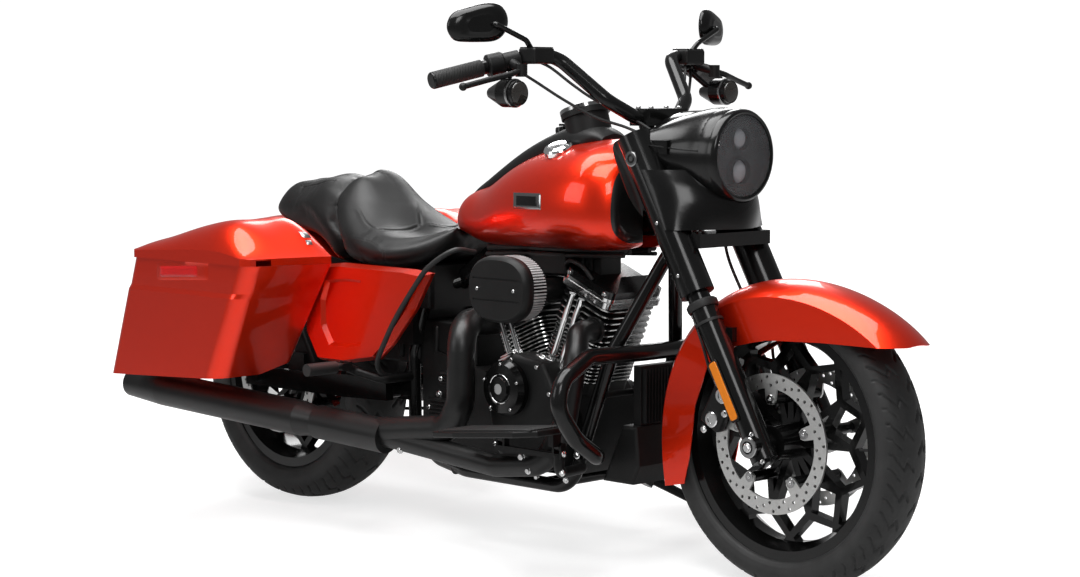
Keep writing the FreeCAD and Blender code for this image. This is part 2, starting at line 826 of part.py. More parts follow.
# Air cleaner: pleated ring behind an oval cover with three flat bands
CLEANER = V(1005, 0, 620)


def oval(half_x, half_z, y, power=2.6, count=28):
    """A closed super-ellipse across X and Z."""
    points = []
    for k in range(count):
        angle = 360.0 * k / count
        c, s = cos(angle), sin(angle)
        x = math.copysign(abs(c) ** (2 / power), c) * half_x
        z = math.copysign(abs(s) ** (2 / power), s) * half_z
        points.append(V(x, y, z))
    curve = Part.BSplineCurve()
    curve.interpolate(Points=points, PeriodicFlag=True)
    return Part.Wire(curve.toShape())


def filter_shape():
    core = Part.Face(oval(86, 68, -216, 2.2)).extrude(V(0, -44, 0))
    throat = rod((-30, 0, -16), (-30, -217, -16), 29)
    manifold = rod((-110, 0, -16), (50, 0, -16), 24)
    inlet = fused([core, throat, manifold])
    return inlet.cut(heads.translated(-CLEANER)).cut(rocker_covers.translated(-CLEANER))


solid("air_filter", filter_shape(), CLEANER)


def cleaner_cover():
    cover = loft([oval(94, 74, -260.3), oval(94, 74, -276), oval(86, 66, -288)])
    for z in (-24, 24):
        cover = cover.cut(block((-74, 74), (-292, -286), (z - 2, z + 2)))
    return cover


solid("air_cleaner_cover", cleaner_cover(), CLEANER)

# Exhaust
HEADER_BEND = 60
PORT_REACH, PORT_Z = 162, 524


SHIELD_FRONT_X = 612


def headers():
    """Rear pipe down behind the air cleaner, front pipe under the footboard."""
    radius = float(d.header_radius)
    port_y = -(float(d.fin_half_width) + 2.3)
    ports = [(CRANK.x + side * PORT_REACH, port_y, PORT_Z) for side in (-1, 1)]
    rear = bent_tube([ports[0], (ports[0][0], -170, PORT_Z), (832, -230, 500), (838, -238, 350),
                      (806, -242, 284), (640, -260, 264), (560, -268, 254)], d.shield_radius,
                     HEADER_BEND)
    end = exhaust_axis(float(d.muffler_front_x) - 20, -1)
    front = bent_tube([ports[1], (ports[1][0], -140, PORT_Z), (1150, -180, 470),
                       (1142, -205, 330),
                       (1100, -232, 232), (960, -244, 216), exhaust_axis(640, -1), end],
                      radius, HEADER_BEND)
    shroud_front, shroud_rear = V(*exhaust_axis(SHIELD_FRONT_X, -1)), V(*exhaust_axis(
        float(d.muffler_front_x) - 10, -1))
    shroud = rod(shroud_front, shroud_rear, float(d.muffler_radius) - 2)
    cross_x, cross_z = 462, 212
    left = exhaust_axis(float(d.muffler_front_x) - 20, 1)
    cross = bent_tube([left, (cross_x, 274, 242), (cross_x, 180, cross_z),
                       (cross_x, -180, cross_z), exhaust_axis(cross_x, -1)], radius - 6, 45)
    flanges = [rod(port, (port[0], port_y - 9, PORT_Z), radius + 4) for port in ports]
    return fused([rear, front, shroud, cross] + flanges)


def exhaust_axis(x, side):
    """A point on the line that the pipe's last run and the muffler share."""
    share = (640 - x) / 950.0
    return (x, side * (262 + 68 * share), 246 + 54 * share)


def muffler(side):
    front, rear = V(*exhaust_axis(float(d.muffler_front_x), side)), V(*exhaust_axis(-310, side))
    axis = rear - front
    run = axis.Length
    radius = float(d.muffler_radius)
    outline = [(0, 0), (0, 30), (16, 34), (70, radius), (run * 0.82, radius), (run, radius - 7),
               (run, radius - 12), (run - 40, radius - 12), (run - 40, 0)]
    ring = Part.makePolygon([V(r, 0, along) for along, r in outline + outline[:1]])
    turned = Part.Face(ring).revolve(V(0, 0, 0), V(0, 0, 1), 360)
    turned.Placement = FreeCAD.Placement(front, FreeCAD.Rotation(V(0, 0, 1), axis))
    return turned


mufflers = Part.makeCompound([muffler(side) for name, side in SIDES])
solid("mufflers", mufflers)
solid("exhaust_headers", headers().cut(mufflers).cut(frame_body))


# Swingarm, rear axle and rear caliper
def swingarm_shape():
    axle_z = float(d.rear_tyre_radius)
    inner, outer = float(d.arm_inner_y), float(d.arm_outer_y)
    pivot_x, pivot_z = float(d.pivot_x), float(d.pivot_z)
    shapes = [rod((pivot_x - 55, -inner - 2, pivot_z), (pivot_x - 55, inner + 2, pivot_z), 19)]
    for side in (-1, 1):
        beam = prism([(pivot_x + 22, pivot_z - 24), (pivot_x + 22, pivot_z + 24), (340, 362),
                      (60, 352), (-52, 350), (-52, 304), (60, 304), (340, 306)],
                     side * inner, side * outer)
        shapes.append(beam)
        stub = side * (float(d.upright_half_width) + 17.3)
        shapes.append(rod((pivot_x, stub, pivot_z), (pivot_x, side * (inner + 1), pivot_z), 22))
    shapes.append(rod((0, -176, axle_z), (0, 176, axle_z), d.axle_radius))
    return fused(shapes)


solid("swingarm", swingarm_shape())


def caliper(disc_y, outward, angle, radius_in, radius_out, axle):
    """A block over the disc's edge with a slot for it."""
    gap = 5
    near = disc_y - outward * (gap + 16)
    far = disc_y + outward * (float(d.disc_thickness) + gap + 20)
    half = 52
    size = (radius_out - radius_in, abs(far - near), 2 * half)
    body = Part.makeBox(*size, V(radius_in, min(near, far), -half))
    body = body.makeFillet(9, body.Edges)
    slot_low = min(disc_y - outward * gap, disc_y + outward * (float(d.disc_thickness) + gap))
    slot_width = float(d.disc_thickness) + 2 * gap
    reach = float(d.disc_radius) + gap
    slot = Part.makeCylinder(reach, slot_width, V(0, slot_low, 0), V(0, 1, 0))
    body = body.cut(slot)
    body.Placement = FreeCAD.Placement(axle, FreeCAD.Rotation(V(0, 1, 0), -angle))
    return body


def rear_caliper_shape():
    body = caliper(-float(d.rear_disc_offset), -1, 30, 118, 176, REAR_AXLE)
    foot = block((92, 152), (-float(d.arm_inner_y) + 0.3, -124), (340, 396))
    return fused([body, foot])


solid("rear_caliper", rear_caliper_shape())


# Rear fender: a crowned shell turned about a centre behind the axle
def fender_section(half, crown, skirt, wall, outer):
    """Half-moon section in Y and radius: outer crown, side skirt, and back inside."""
    def arch(half_width, top, bottom, drop):
        left, right = (-half_width, top - drop), (half_width, top - drop)
        return [(-half_width, bottom), left, (-half_width * 0.6, top - drop * 0.3), (0, top),
                (half_width * 0.6, top - drop * 0.3), right, (half_width, bottom)]
    over = arch(half, outer, outer - skirt, crown)
    under = arch(half - wall, outer - wall, outer - skirt, crown)
    return over, under


def arch_wire(points, frame):
    """Side, crown curve, side of one arch; frame turns (y, r) into a point."""
    curve = Part.BSplineCurve()
    curve.interpolate([frame(y, r) for y, r in points[1:-1]])
    left = Part.LineSegment(frame(*points[0]), frame(*points[1])).toShape()
    right = Part.LineSegment(frame(*points[-2]), frame(*points[-1])).toShape()
    return [left, curve.toShape(), right]


def fender_face(section, frame):
    over, under = section
    edges = arch_wire(over, frame) + arch_wire(under, frame)
    edges.append(Part.LineSegment(frame(*over[0]), frame(*under[0])).toShape())
    edges.append(Part.LineSegment(frame(*over[-1]), frame(*under[-1])).toShape())
    return Part.Face(Part.Wire(Part.__sortEdges__(edges)))


REAR_ARC = V(d.rear_fender_centre_x, 0, d.rear_fender_centre_z)
REAR_ARC_START, REAR_ARC_END = 38, 186


def turned_rear_arc(face):
    """Turn a section, given in X (radius) and Y, over the rear wheel."""
    shell = face.revolve(V(0, 0, 0), V(0, 1, 0), -(REAR_ARC_END - REAR_ARC_START))
    shell.rotate(V(0, 0, 0), V(0, 1, 0), -REAR_ARC_START)
    return shell.translated(REAR_ARC)


def at_radius(y, r):
    """A section point drawn beside the wheel's axis, before the turn."""
    return V(r, y, 0)


def rear_fender_shape():
    section = fender_section(float(d.rear_fender_half_width), 26, float(d.rear_fender_skirt),
                             float(d.sheet_wall), float(d.rear_fender_radius))
    return turned_rear_arc(fender_face(section, at_radius))


solid("rear_fender", rear_fender_shape())


def fender_envelope(extra):
    """The rear fender's filled form, grown a little, to seat pieces on."""
    half, outer = float(d.rear_fender_half_width) + extra, float(d.rear_fender_radius) + extra
    over, under = fender_section(half, 26, float(d.rear_fender_skirt), float(d.sheet_wall), outer)
    base = Part.LineSegment(at_radius(*over[-1]), at_radius(*over[0])).toShape()
    face = Part.Face(Part.Wire(arch_wire(over, at_radius) + [base]))
    return turned_rear_arc(face)


def on_rear_arc(angle, radius, y=0):
    return (REAR_ARC.x + radius * cos(angle), y, REAR_ARC.z + radius * sin(angle))


def tail_shape():
    """Lamp on the fender, a bar with two signals and the plate's carrier."""
    radius = float(d.rear_fender_radius)
    base = on_rear_arc(150, radius + 0.4)
    tip = on_rear_arc(150, radius + 52)
    lamp = rod(base, tip, 44)
    bar_at = on_rear_arc(163, radius + 14)
    bar = rod((bar_at[0], -165, bar_at[2]), (bar_at[0], 165, bar_at[2]), 9)
    stem = rod(on_rear_arc(163, radius + 0.4), bar_at, 16)
    spine = block((bar_at[0] - 8, bar_at[0] + 2), (-30, 30), (bar_at[2] - 70, base[2]))
    plate = block((bar_at[0] - 14, bar_at[0] - 8), (-92, 92), (bar_at[2] - 130, bar_at[2] - 12))
    shapes = [lamp, bar, stem, spine, plate]
    for side in (-1, 1):
        shapes.append(rod((bar_at[0] + 24, side * 165, bar_at[2]),
                          (bar_at[0] - 34, side * 165, bar_at[2]), d.signal_radius))
    return fused(shapes).cut(fender_envelope(0.3))


solid("tail_lamp", tail_shape())


# Fender struts and saddlebag carriers
def rail_shape():
    half = float(d.rear_fender_half_width)
    shapes = []
    for side in (-1, 1):
        inner, outer = side * (half + 0.4), side * (half + 9)
        strut = prism([(600, 540), (600, 590), (330, 632), (60, 672), (-150, 645), (-150, 612),
                       (60, 632), (330, 592), (560, 540)], inner, outer)
        shapes.append(strut)
        for x, z in ((222, 560), (-20, 560)):
            shapes.append(block((x - 16, x + 16), sorted((outer, inner)), (z - 18, 625)))
            shapes.append(rod((x, inner, z), (x, side * (float(d.bag_inner_y) - 0.4), z), 11))
    ties = [rod((575, -half - 9, 570), (575, half + 9, 570), 12)]
    return fused(shapes + ties).cut(frame_body)


solid("fender_struts", rail_shape())


# Fuel tank: stations from its tail under the seat to the two lobes beside the neck
TANK = (
    # x, half width, top, bottom
    (632, 52, 780, 722),
    (720, 98, 834, 706),
    (830, 134, 886, 702),
    (960, 166, 930, 704),
    (1080, 180, 948, 706),
    (1160, 172, 948, 708),
    (1205, 152, 926, 716),
    (1226, 122, 886, 742),
)


def tank_ring(x, half, top, bottom):
    tall = top - bottom
    return mirrored_ring(x, [
        (0, top), (half * 0.48, top - tall * 0.05), (half * 0.86, top - tall * 0.25),
        (half, top - tall * 0.55), (half * 0.92, bottom + tall * 0.14),
        (half * 0.66, bottom + tall * 0.01), (0, bottom),
    ])


def turning_room():
    """What the fork covers sweep round the steering axis, with the gap that they run in."""
    top = 980
    behind = (steering_x(top) - fork_x(top)) * cos(d.rake_angle)
    reach = math.hypot(d.fork_half_spacing, behind) + float(d.fork_cover_radius) + 3
    return rod(neck_point(560), neck_point(1160), reach + float(d.running_gap))


def tank_shape():
    shell = loft([tank_ring(*station) for station in TANK])
    half, top = float(d.tank_tunnel_half_width), float(d.tank_tunnel_top)
    tunnel = block((560, 1300), (-half, half), (600, top))
    notch = Part.makeCylinder(58, 400, V(1262, 0, 650))
    return shell.cut(tunnel).cut(notch).cut(turning_room())


CAP_SEAT, CAP_AXIS, CAP_RADIUS = V(1010, -92, 923.5), V(0.02, -0.42, 0.9).normalize(), 34
cap_well = axial(0, 60, CAP_RADIUS + 0.3, CAP_SEAT, CAP_AXIS)
solid("fuel_tank", tank_shape().cut(cap_well))


CONSOLE = (
    # x, half width, underside, crown
    (640, 24, 760, 812),
    (700, 34, 806, 850),
    (760, 42, 836, 884),
    (840, 50, 872, 926),
    (900, 53, 902, 952),
    (960, 56, 914, 972),
    (1040, 56, 928, 984),
    (1096, 42, 936, 964),
)
DIAL_FOOT, DIAL_AXIS, DIAL_RADIUS, DIAL_TALL = V(1020, 0, 958), V(-0.3, 0, 0.954), 52, 60


def console_shape():
    """Long dash on the tank's crown, swelling into the round instrument at its front."""
    rings = []
    for x, half, low, high in CONSOLE:
        rings.append(mirrored_ring(x, [(0, high), (half * 0.6, high - 5),
                                       (half, low + (high - low) * 0.45), (half * 0.9, low), (0, low)]))
    dash = loft(rings)
    dial = axial(0, DIAL_TALL, DIAL_RADIUS, DIAL_FOOT, DIAL_AXIS)
    bezel = axial(DIAL_TALL - 14, 20, DIAL_RADIUS + 5, DIAL_FOOT, DIAL_AXIS)
    glass = axial(DIAL_TALL, 10, DIAL_RADIUS, DIAL_FOOT, DIAL_AXIS)
    body = fused([dash, dial, bezel]).cut(glass)
    return biggest(body.cut(tank_shape()).cut(cap_well))


solid("tank_console", console_shape())

cap = new_body("fuel_cap")
revolve(cap, "cap_turned", [(0, 0), (0, CAP_RADIUS), (9, CAP_RADIUS), (14, 31), (17, 22), (18, 0)])
register(cap, CAP_SEAT, FreeCAD.Rotation(V(0, 1, 0), CAP_AXIS))

# Seats
RIDER_SEAT = (
    # x, half width, underside, height at the edge, height in the middle
    (292, 132, 664, 790, 838),
    (330, 164, 650, 768, 842),
    (400, 188, 642, 728, 778),
    (480, 192, 640, 704, 704),
    (560, 164, 648, 706, 696),
    (612, 118, 674, 726, 724),
    (642, 78, 716, 744, 752),
)


def seat_ring(x, half, low, edge, middle):
    return mirrored_ring(x, [
        (0, middle), (half * 0.45, (middle + edge) / 2 + 2), (half * 0.8, edge),
        (half, (edge + low) / 2), (half * 0.9, low + 6), (half * 0.5, low), (0, low),
    ])


def seat_shape(stations):
    return loft([seat_ring(*station) for station in stations])


PILLION_SEAT = (
    (-42, 58, 730, 748, 758),
    (-10, 92, 722, 772, 790),
    (60, 108, 700, 796, 818),
    (155, 118, 690, 816, 840),
    (240, 124, 640, 824, 848),
    (291.6, 120, 640, 816, 838),
)


tank_and_console = tank_shape()
solid("seat_rider", biggest(seat_shape(RIDER_SEAT).cut(tank_and_console)))
rails = rail_shape()
pillion = seat_shape(PILLION_SEAT).cut(fender_envelope(0.4)).cut(rails)
solid("seat_pillion", biggest(pillion))


def seat_pan():
    """Tray with the battery beneath the rider, between the side covers."""
    tray = block((350, 536), (-112, 112), (446, 536))
    upper = block((330, 600), (-100, 100), (536, 640))
    tray = fused([tray, upper]).cut(fender_envelope(3)).cut(frame_body).cut(rails)
    return biggest(tray.cut(seat_shape(RIDER_SEAT)))


solid("battery_tray", seat_pan())


# Side covers: bevelled triangular panels
COVER_EDGE = [(250, 560), (252, 465), (296, 398), (400, 398), (512, 416), (563, 458), (644, 546),
              (700, 634), (634, 640), (380, 642), (276, 630)]


def side_cover(side):
    """Bevelled panel under the seat with a recessed flank and a mounting stub."""
    def drawn(share, y, lift_z=0):
        middle_x, middle_z = 470, 530
        ring = [V(middle_x + (x - middle_x) * share, side * y,
                  middle_z + (z - middle_z) * share + lift_z) for x, z in COVER_EDGE]
        return Part.makePolygon(ring + ring[:1])

    shell = Part.makeLoft([drawn(1, 190), drawn(1, 200), drawn(0.93, 222)], True, True)
    recess = Part.makeLoft([drawn(0.62, 216), drawn(0.70, 224)], True, True)
    recess = recess.common(block((0, 470), (-300, 300), (300, 700)))
    stub = rod((470, side * 112.3, 500), (470, side * 191, 500), 16)
    return fused([shell.cut(recess), stub])


solid("side_covers", Part.makeCompound([side_cover(side) for name, side in SIDES]))

# Saddlebags and lids
BAG_LOW_Z, BAG_WAIST_Z, BAG_WAIST_IN = 330, 574, 5
BAG_REAR, BAG_FRONT_OUT, BAG_FRONT_IN = (-240, -136), (196, 327), (176, 383)
BAG_CORNERS = (14, 26, 44, 14)
LID_TOP = [(-137, 666), (-90, 684), (-28, 698), (70, 722), (170, 742), (240, 745), (304, 716),
           (352, 680), (383, 659)]
LID_ROLL = ((236, 0.86), (300, 1.0), (370, 0.98), (415, 0.86), (442, 0.58), (458, 0.2))
LID_LIP = 14


def rounded_ring(points, radii):
    """A closed polygon whose corners are rounded by tangent arcs."""
    count = len(points)
    ends = []
    for i in range(count):
        here, before, after = points[i], points[i - 1], points[(i + 1) % count]
        into, out = (here - before).normalize(), (after - here).normalize()
        turn = into.getAngle(out)
        reach = radii[i] * math.tan(turn / 2)
        middle = here + (out - into).normalize() * (radii[i] / math.cos(turn / 2) - radii[i])
        ends.append((here - into * reach, middle, here + out * reach))
    edges = []
    for i in range(count):
        edges.append(Part.Arc(*ends[i]).toShape())
        edges.append(Part.LineSegment(ends[i][2], ends[(i + 1) % count][0]).toShape())
    return Part.Wire(edges)


def bag_plan(z, side, inset, waist=0):
    """A saddlebag's section at a height: upright tail, front slanting outwards and back."""
    share = (z - BAG_LOW_Z) / (float(d.bag_seam_z) - BAG_LOW_Z)
    rear, front_out, front_in = [low + share * (high - low)
                                 for low, high in (BAG_REAR, BAG_FRONT_OUT, BAG_FRONT_IN)]
    inner, outer = float(d.bag_inner_y) + inset, float(d.bag_outer_y) - inset - waist
    points = [V(rear + inset, side * inner, z), V(rear + inset, side * outer, z),
              V(front_out - inset, side * outer, z), V(front_in - inset, side * inner, z)]
    return rounded_ring(points, [max(radius - inset, 5) for radius in BAG_CORNERS])


def bag_body(side, inset, top):
    """A saddlebag form drawn in, all round, by the inset, its flank stepped at the waist."""
    low = BAG_LOW_Z + inset
    rings = [bag_plan(low, side, inset), bag_plan(BAG_WAIST_Z - 12, side, inset),
             bag_plan(BAG_WAIST_Z, side, inset, BAG_WAIST_IN), bag_plan(top, side, inset, BAG_WAIST_IN)]
    body = Part.makeLoft(rings, True, True)
    floor_low = [(-400, 332 + inset), (400, 374 + inset), (400, 200), (-400, 200)]
    channel = [V(-600, side * 220, 392 + inset), V(-600, side * 400, 340 + inset * 1.1),
               V(-600, side * 400, 200), V(-600, side * 200, 200), V(-600, side * 200, 392 + inset)]
    channel = Part.Face(Part.makePolygon(channel + channel[:1])).extrude(V(1200, 0, 0))
    return body.cut(prism(floor_low, -600, 600)).cut(channel)


def lid_body(side, inset):
    """A crowned lid: its side profile rolls down towards the outer edge."""
    seam = float(d.bag_seam_z)
    rings = []
    for y, share in LID_ROLL:
        front = LID_TOP[-1][0] - (y - float(d.bag_inner_y)) * 0.257
        scale = (front - LID_TOP[0][0]) / (LID_TOP[-1][0] - LID_TOP[0][0])
        crown = Part.BSplineCurve()
        crown.interpolate([V(LID_TOP[0][0] + (x - LID_TOP[0][0]) * scale, side * y,
                             seam + LID_LIP + (z - seam - LID_LIP) * share - inset)
                           for x, z in LID_TOP])
        first, last = crown.StartPoint, crown.EndPoint
        base = seam - 40
        edges = [crown.toShape(), Part.LineSegment(last, V(last.x, last.y, base)).toShape(),
                 Part.LineSegment(V(last.x, last.y, base), V(first.x, first.y, base)).toShape(),
                 Part.LineSegment(V(first.x, first.y, base), first).toShape()]
        rings.append(Part.Wire(edges))
    crown = Part.makeLoft(rings, True, False)
    low = seam - (10 if inset else 0)
    upright = Part.Face(bag_plan(seam, side, inset - LID_OVERHANG)).extrude(V(0, 0, 160))
    upright.translate(V(0, 0, low - seam))
    return crown.common(upright)


LID_OVERHANG = 1.5


for name, side in SIDES:
    seam = float(d.bag_seam_z)
    wall = float(d.bag_wall)
    bag = bag_body(side, 0, seam).cut(bag_body(side, wall, seam + 40))
    solid("saddlebag_" + name, bag)
    lid = lid_body(side, 0).cut(lid_body(side, wall))
    solid("bag_lid_" + name, lid, V(0, 0, float(d.lid_gap)))


# Oil cooler, chin cover and engine guard
def cooler_shape():
    shapes = [block((1228, 1250), (-76, 76), (318, 452))]
    for k in range(15):
        y = -70 + k * 10
        shapes.append(block((1250, 1262), (y - 1, y + 1), (324, 446)))
    shapes.append(block((1172, 1228), (-20, 20), (372, 398)))
    shapes.append(rod((1178, -112, 385), (1178, 112, 385), 7))
    return fused(shapes).cut(frame_body)


solid("oil_cooler", cooler_shape())


def chin_shape():
    outline = [(1150, 186), (1240, 186), (1262, 230), (1254, 317.7), (1210, 317.7), (1180, 250)]
    shell = prism(outline, -96, 96)
    edges = [edge for edge in shell.Edges if edge.BoundBox.YLength < 1]
    return shell.makeFillet(8, edges).cut(frame_body)


solid("chin_cover", chin_shape())


def guard_shape():
    half = [(1238, -60, 480), (1238, -230, 484), (1252, -332, 440), (1256, -346, 380),
            (1266, -300, 312), (1246, -210, 262), (1150, -138, 262)]
    left = [(x, -y, z) for x, y, z in half]
    bar = bent_tube(list(reversed(half)) + left, d.guard_radius, 62)
    cross = [rod((1190, side * 104, 482), (1238, side * 96, 481), 13) for side in (-1, 1)]
    return fused([bar] + cross).cut(frame_body)


solid("engine_guard", guard_shape())


# Footboards, passenger pegs and side stand with their brackets
BOARD_HINGE_Y, BOARD_HINGE_Z = 262, 283
BOARD_REAR_X, BOARD_FRONT_X = 1000, 1178
BOARD_SLOPE = 6


def board_bracket(side):
    """Front arm from the down tube to the rail that carries both hinges."""
    y, z = side * BOARD_HINGE_Y, BOARD_HINGE_Z
    front = bent_tube([(1108, side * 126, 228), (1150, side * 160, 222),
                       (BOARD_FRONT_X, y, 224), (BOARD_FRONT_X, y, z - 18)], 12, 26)
    rail = block((BOARD_REAR_X - 14, BOARD_FRONT_X + 14), sorted((y - side * 9, y + side * 9)),
                 (z - 26, z - 14))
    shapes = [front, rail]
    for x in (BOARD_REAR_X, BOARD_FRONT_X):
        for shift in (-14, 8):
            ear = block((x + shift, x + shift + 6), sorted((y - side * 8, y + side * 8)),
                        (z - 18, z + 2))
            shapes += [ear, rod((x + shift, y, z + 2), (x + shift + 6, y, z + 2), 8)]
        shapes.append(rod((x - 14, y, z + 2), (x + 14, y, z + 2), 4))
    return fused(shapes)


solid("board_brackets", Part.makeCompound([board_bracket(side).cut(frame_body)
                                           for name, side in SIDES]))


BOARD_LIFT = 24


def footboard(side):
    """A sloping plate with two hinge eyes under its inner edge."""
    inner, outer = BOARD_HINGE_Y + 4, 392
    outline = [V(893, side * inner, 0), V(893, side * 378, 0), V(975, side * outer, 0),
               V(1165, side * outer, 0), V(1222, side * 372, 0), V(1222, side * inner, 0)]
    board = Part.Face(Part.makePolygon(outline + outline[:1])).extrude(V(0, 0, 14))
    board = board.makeFillet(4, board.Edges)
    board.rotate(V(1090, 0, 0), V(0, 1, 0), -BOARD_SLOPE)
    board.translate(V(0, 0, BOARD_HINGE_Z + BOARD_LIFT))
    shapes = [board]
    y, z = side * BOARD_HINGE_Y, BOARD_HINGE_Z + 2
    for x in (BOARD_REAR_X, BOARD_FRONT_X):
        under = BOARD_HINGE_Z + BOARD_LIFT + (x - 1090) * sin(BOARD_SLOPE)
        shapes.append(rod((x - 7.5, y, z), (x + 7.5, y, z), 9))
        shapes.append(block((x - 7.5, x + 7.5), sorted((y + side * 2, y + side * 26)),
                            (z + 1, under + 2)))
    hinge = fused(shapes)
    for x in (BOARD_REAR_X, BOARD_FRONT_X):
        hinge = hinge.cut(rod((x - 20, y, z), (x + 20, y, z), 4.3))
    return hinge


for name, side in SIDES:
    solid("footboard_" + name, footboard(side))

PEG_X, PEG_HINGE_Y, PEG_HINGE_Z = 440, 262, 398


def peg(side):
    """A rubber-sleeved bar on an eye that hinges upwards."""
    y, z = side * PEG_HINGE_Y, PEG_HINGE_Z
    bar = rod((PEG_X, y + side * 16, z), (PEG_X, y + side * 104, z), 15)
    neck = rod((PEG_X, y, z), (PEG_X, y + side * 20, z), 7)
    eye = rod((PEG_X - 10, y, z), (PEG_X + 10, y, z), 9)
    return fused([bar, neck, eye]).cut(rod((PEG_X - 20, y, z), (PEG_X + 20, y, z), 4.05))


for name, side in SIDES:
    solid("passenger_peg_" + name, peg(side))


def peg_bracket(side):
    """Arm from the frame's upright, outside the swingarm, with the peg's two ears."""
    y, z = side * PEG_HINGE_Y, PEG_HINGE_Z
    arm = bent_tube([(float(d.upright_x), side * float(d.upright_half_width), z - 32),
                     (float(d.upright_x) + 3, side * 185, z - 32), (PEG_X, side * 215, z - 14),
                     (PEG_X, y - side * 18, z)], 11, 24)
    base = block((PEG_X - 18, PEG_X + 18), sorted((y - side * 22, y - side * 14)), (z - 12, z + 12))
    shapes = [arm, base, rod((PEG_X - 17, y, z), (PEG_X + 17, y, z), 4)]
    for low, high in ((-17, -11), (11, 17)):
        ear = block((PEG_X + low, PEG_X + high), sorted((y - side * 20, y)), (z - 9, z + 9))
        shapes += [ear, rod((PEG_X + low, y, z), (PEG_X + high, y, z), 9)]
    return fused(shapes).cut(frame_body)


solid("peg_brackets", Part.makeCompound([peg_bracket(side) for name, side in SIDES]))


def stand_shape():
    """Eye on its pin, a tapering leg and a foot that lies flat on the ground."""
    ankle = STAND_FOOT + V(0, 0, 8)
    away = (ankle - STAND_PIVOT).normalize()
    start = STAND_PIVOT + away * 12
    leg = Part.makeCone(11.5, 9, (ankle - start).Length, start, away)
    eye = axial(-STAND_EYE_HALF, 2 * STAND_EYE_HALF, STAND_EYE_RADIUS, STAND_PIVOT, STAND_AXIS)
    foot = Part.makeCylinder(33, 9, V(0, 0, 0), V(0, 0, 1))
    foot.Placement = FreeCAD.Placement(STAND_FOOT, FreeCAD.Rotation(V(1, 0, 0), d.lean_angle))
    stand = fused([leg, eye, foot])
    return stand.cut(axial(-40, 80, 8.06, STAND_PIVOT, STAND_AXIS))


solid("side_stand", stand_shape())


# Steering: clamps, legs, nacelle, lamp, bars and fender
def clamp_shape():
    shapes = []
    spacing = float(d.fork_half_spacing)
    thick = float(d.clamp_thickness)
    for z in (float(d.lower_clamp_z), float(d.upper_clamp_z)):
        x = fork_x(z)
        stem_x = steering_x(z)
        bar = block((min(x, stem_x) - 10, max(x, stem_x) + 24), (-spacing, spacing),
                    (z - thick / 2, z + thick / 2))
        shapes.append(bar)
        for side in (-1, 1):
            shapes.append(rod((fork_x(z - thick * 0.7), side * spacing, z - thick * 0.7),
                              (fork_x(z + thick * 0.7), side * spacing, z + thick * 0.7), 36))
    low, high = float(d.lower_clamp_z), float(d.upper_clamp_z)
    shapes.append(rod(neck_point(low), neck_point(high), d.stem_radius))
    clamps = fused(shapes)
    for side in (-1, 1):
        clamps = clamps.cut(rod((fork_x(300), side * spacing, 300), (fork_x(1100), side * spacing, 1100),
                                d.fork_tube_radius + 0.1))
    return clamps


solid("fork_clamps", clamp_shape())


def leg_shape(side):
    y = side * float(d.fork_half_spacing)
    axle_z = float(d.front_tyre_radius)
    tube = rod((fork_x(560), y, 560), (fork_x(966), y, 966), d.fork_tube_radius)
    slider = rod((fork_x(axle_z - 30), y, axle_z - 30), (fork_x(600), y, 600), d.slider_radius)
    inner = float(d.front_disc_offset + d.disc_thickness + d.running_gap)
    boss = rod((d.wheelbase, side * inner, axle_z), (d.wheelbase, side * float(d.axle_boss_end),
                                                     axle_z), d.axle_boss_radius)
    return fused([tube, slider, boss])


axle_z = float(d.front_tyre_radius)
axle_end = float(d.axle_boss_end) + 6
fender_pads = [block((1468, 1532), sorted((side * float(d.front_fender_half_width + 0.3),
                                           side * float(d.fork_half_spacing - 20))), (530, 560))
               for side in (-1, 1)]
legs = fused([leg_shape(-1), leg_shape(1)] + fender_pads + [
    rod((d.wheelbase, -axle_end, axle_z), (d.wheelbase, axle_end, axle_z), d.axle_radius)])
solid("fork_legs", legs)


BAR_HALF = [(1228, 0, 1000), (1228, -66, 1000), (1196, -130, 1040), (1096, -186, 1136),
            (1084, -240, 1140), (1030, -350, 1112), (996, -462, 1085)]


def bar_shape():
    left = [(x, -y, z) for x, y, z in BAR_HALF[1:]]
    bar = bent_tube(list(reversed(BAR_HALF[1:])) + left, d.bar_radius, 60)
    risers = []
    for side in (-1, 1):
        risers.append(rod((1246, side * 44, 955.3), (1228, side * 44, 1000), 17))
    top = block((1200, 1262), (-62, 62), (984, 1022))
    return fused([bar, top] + risers)


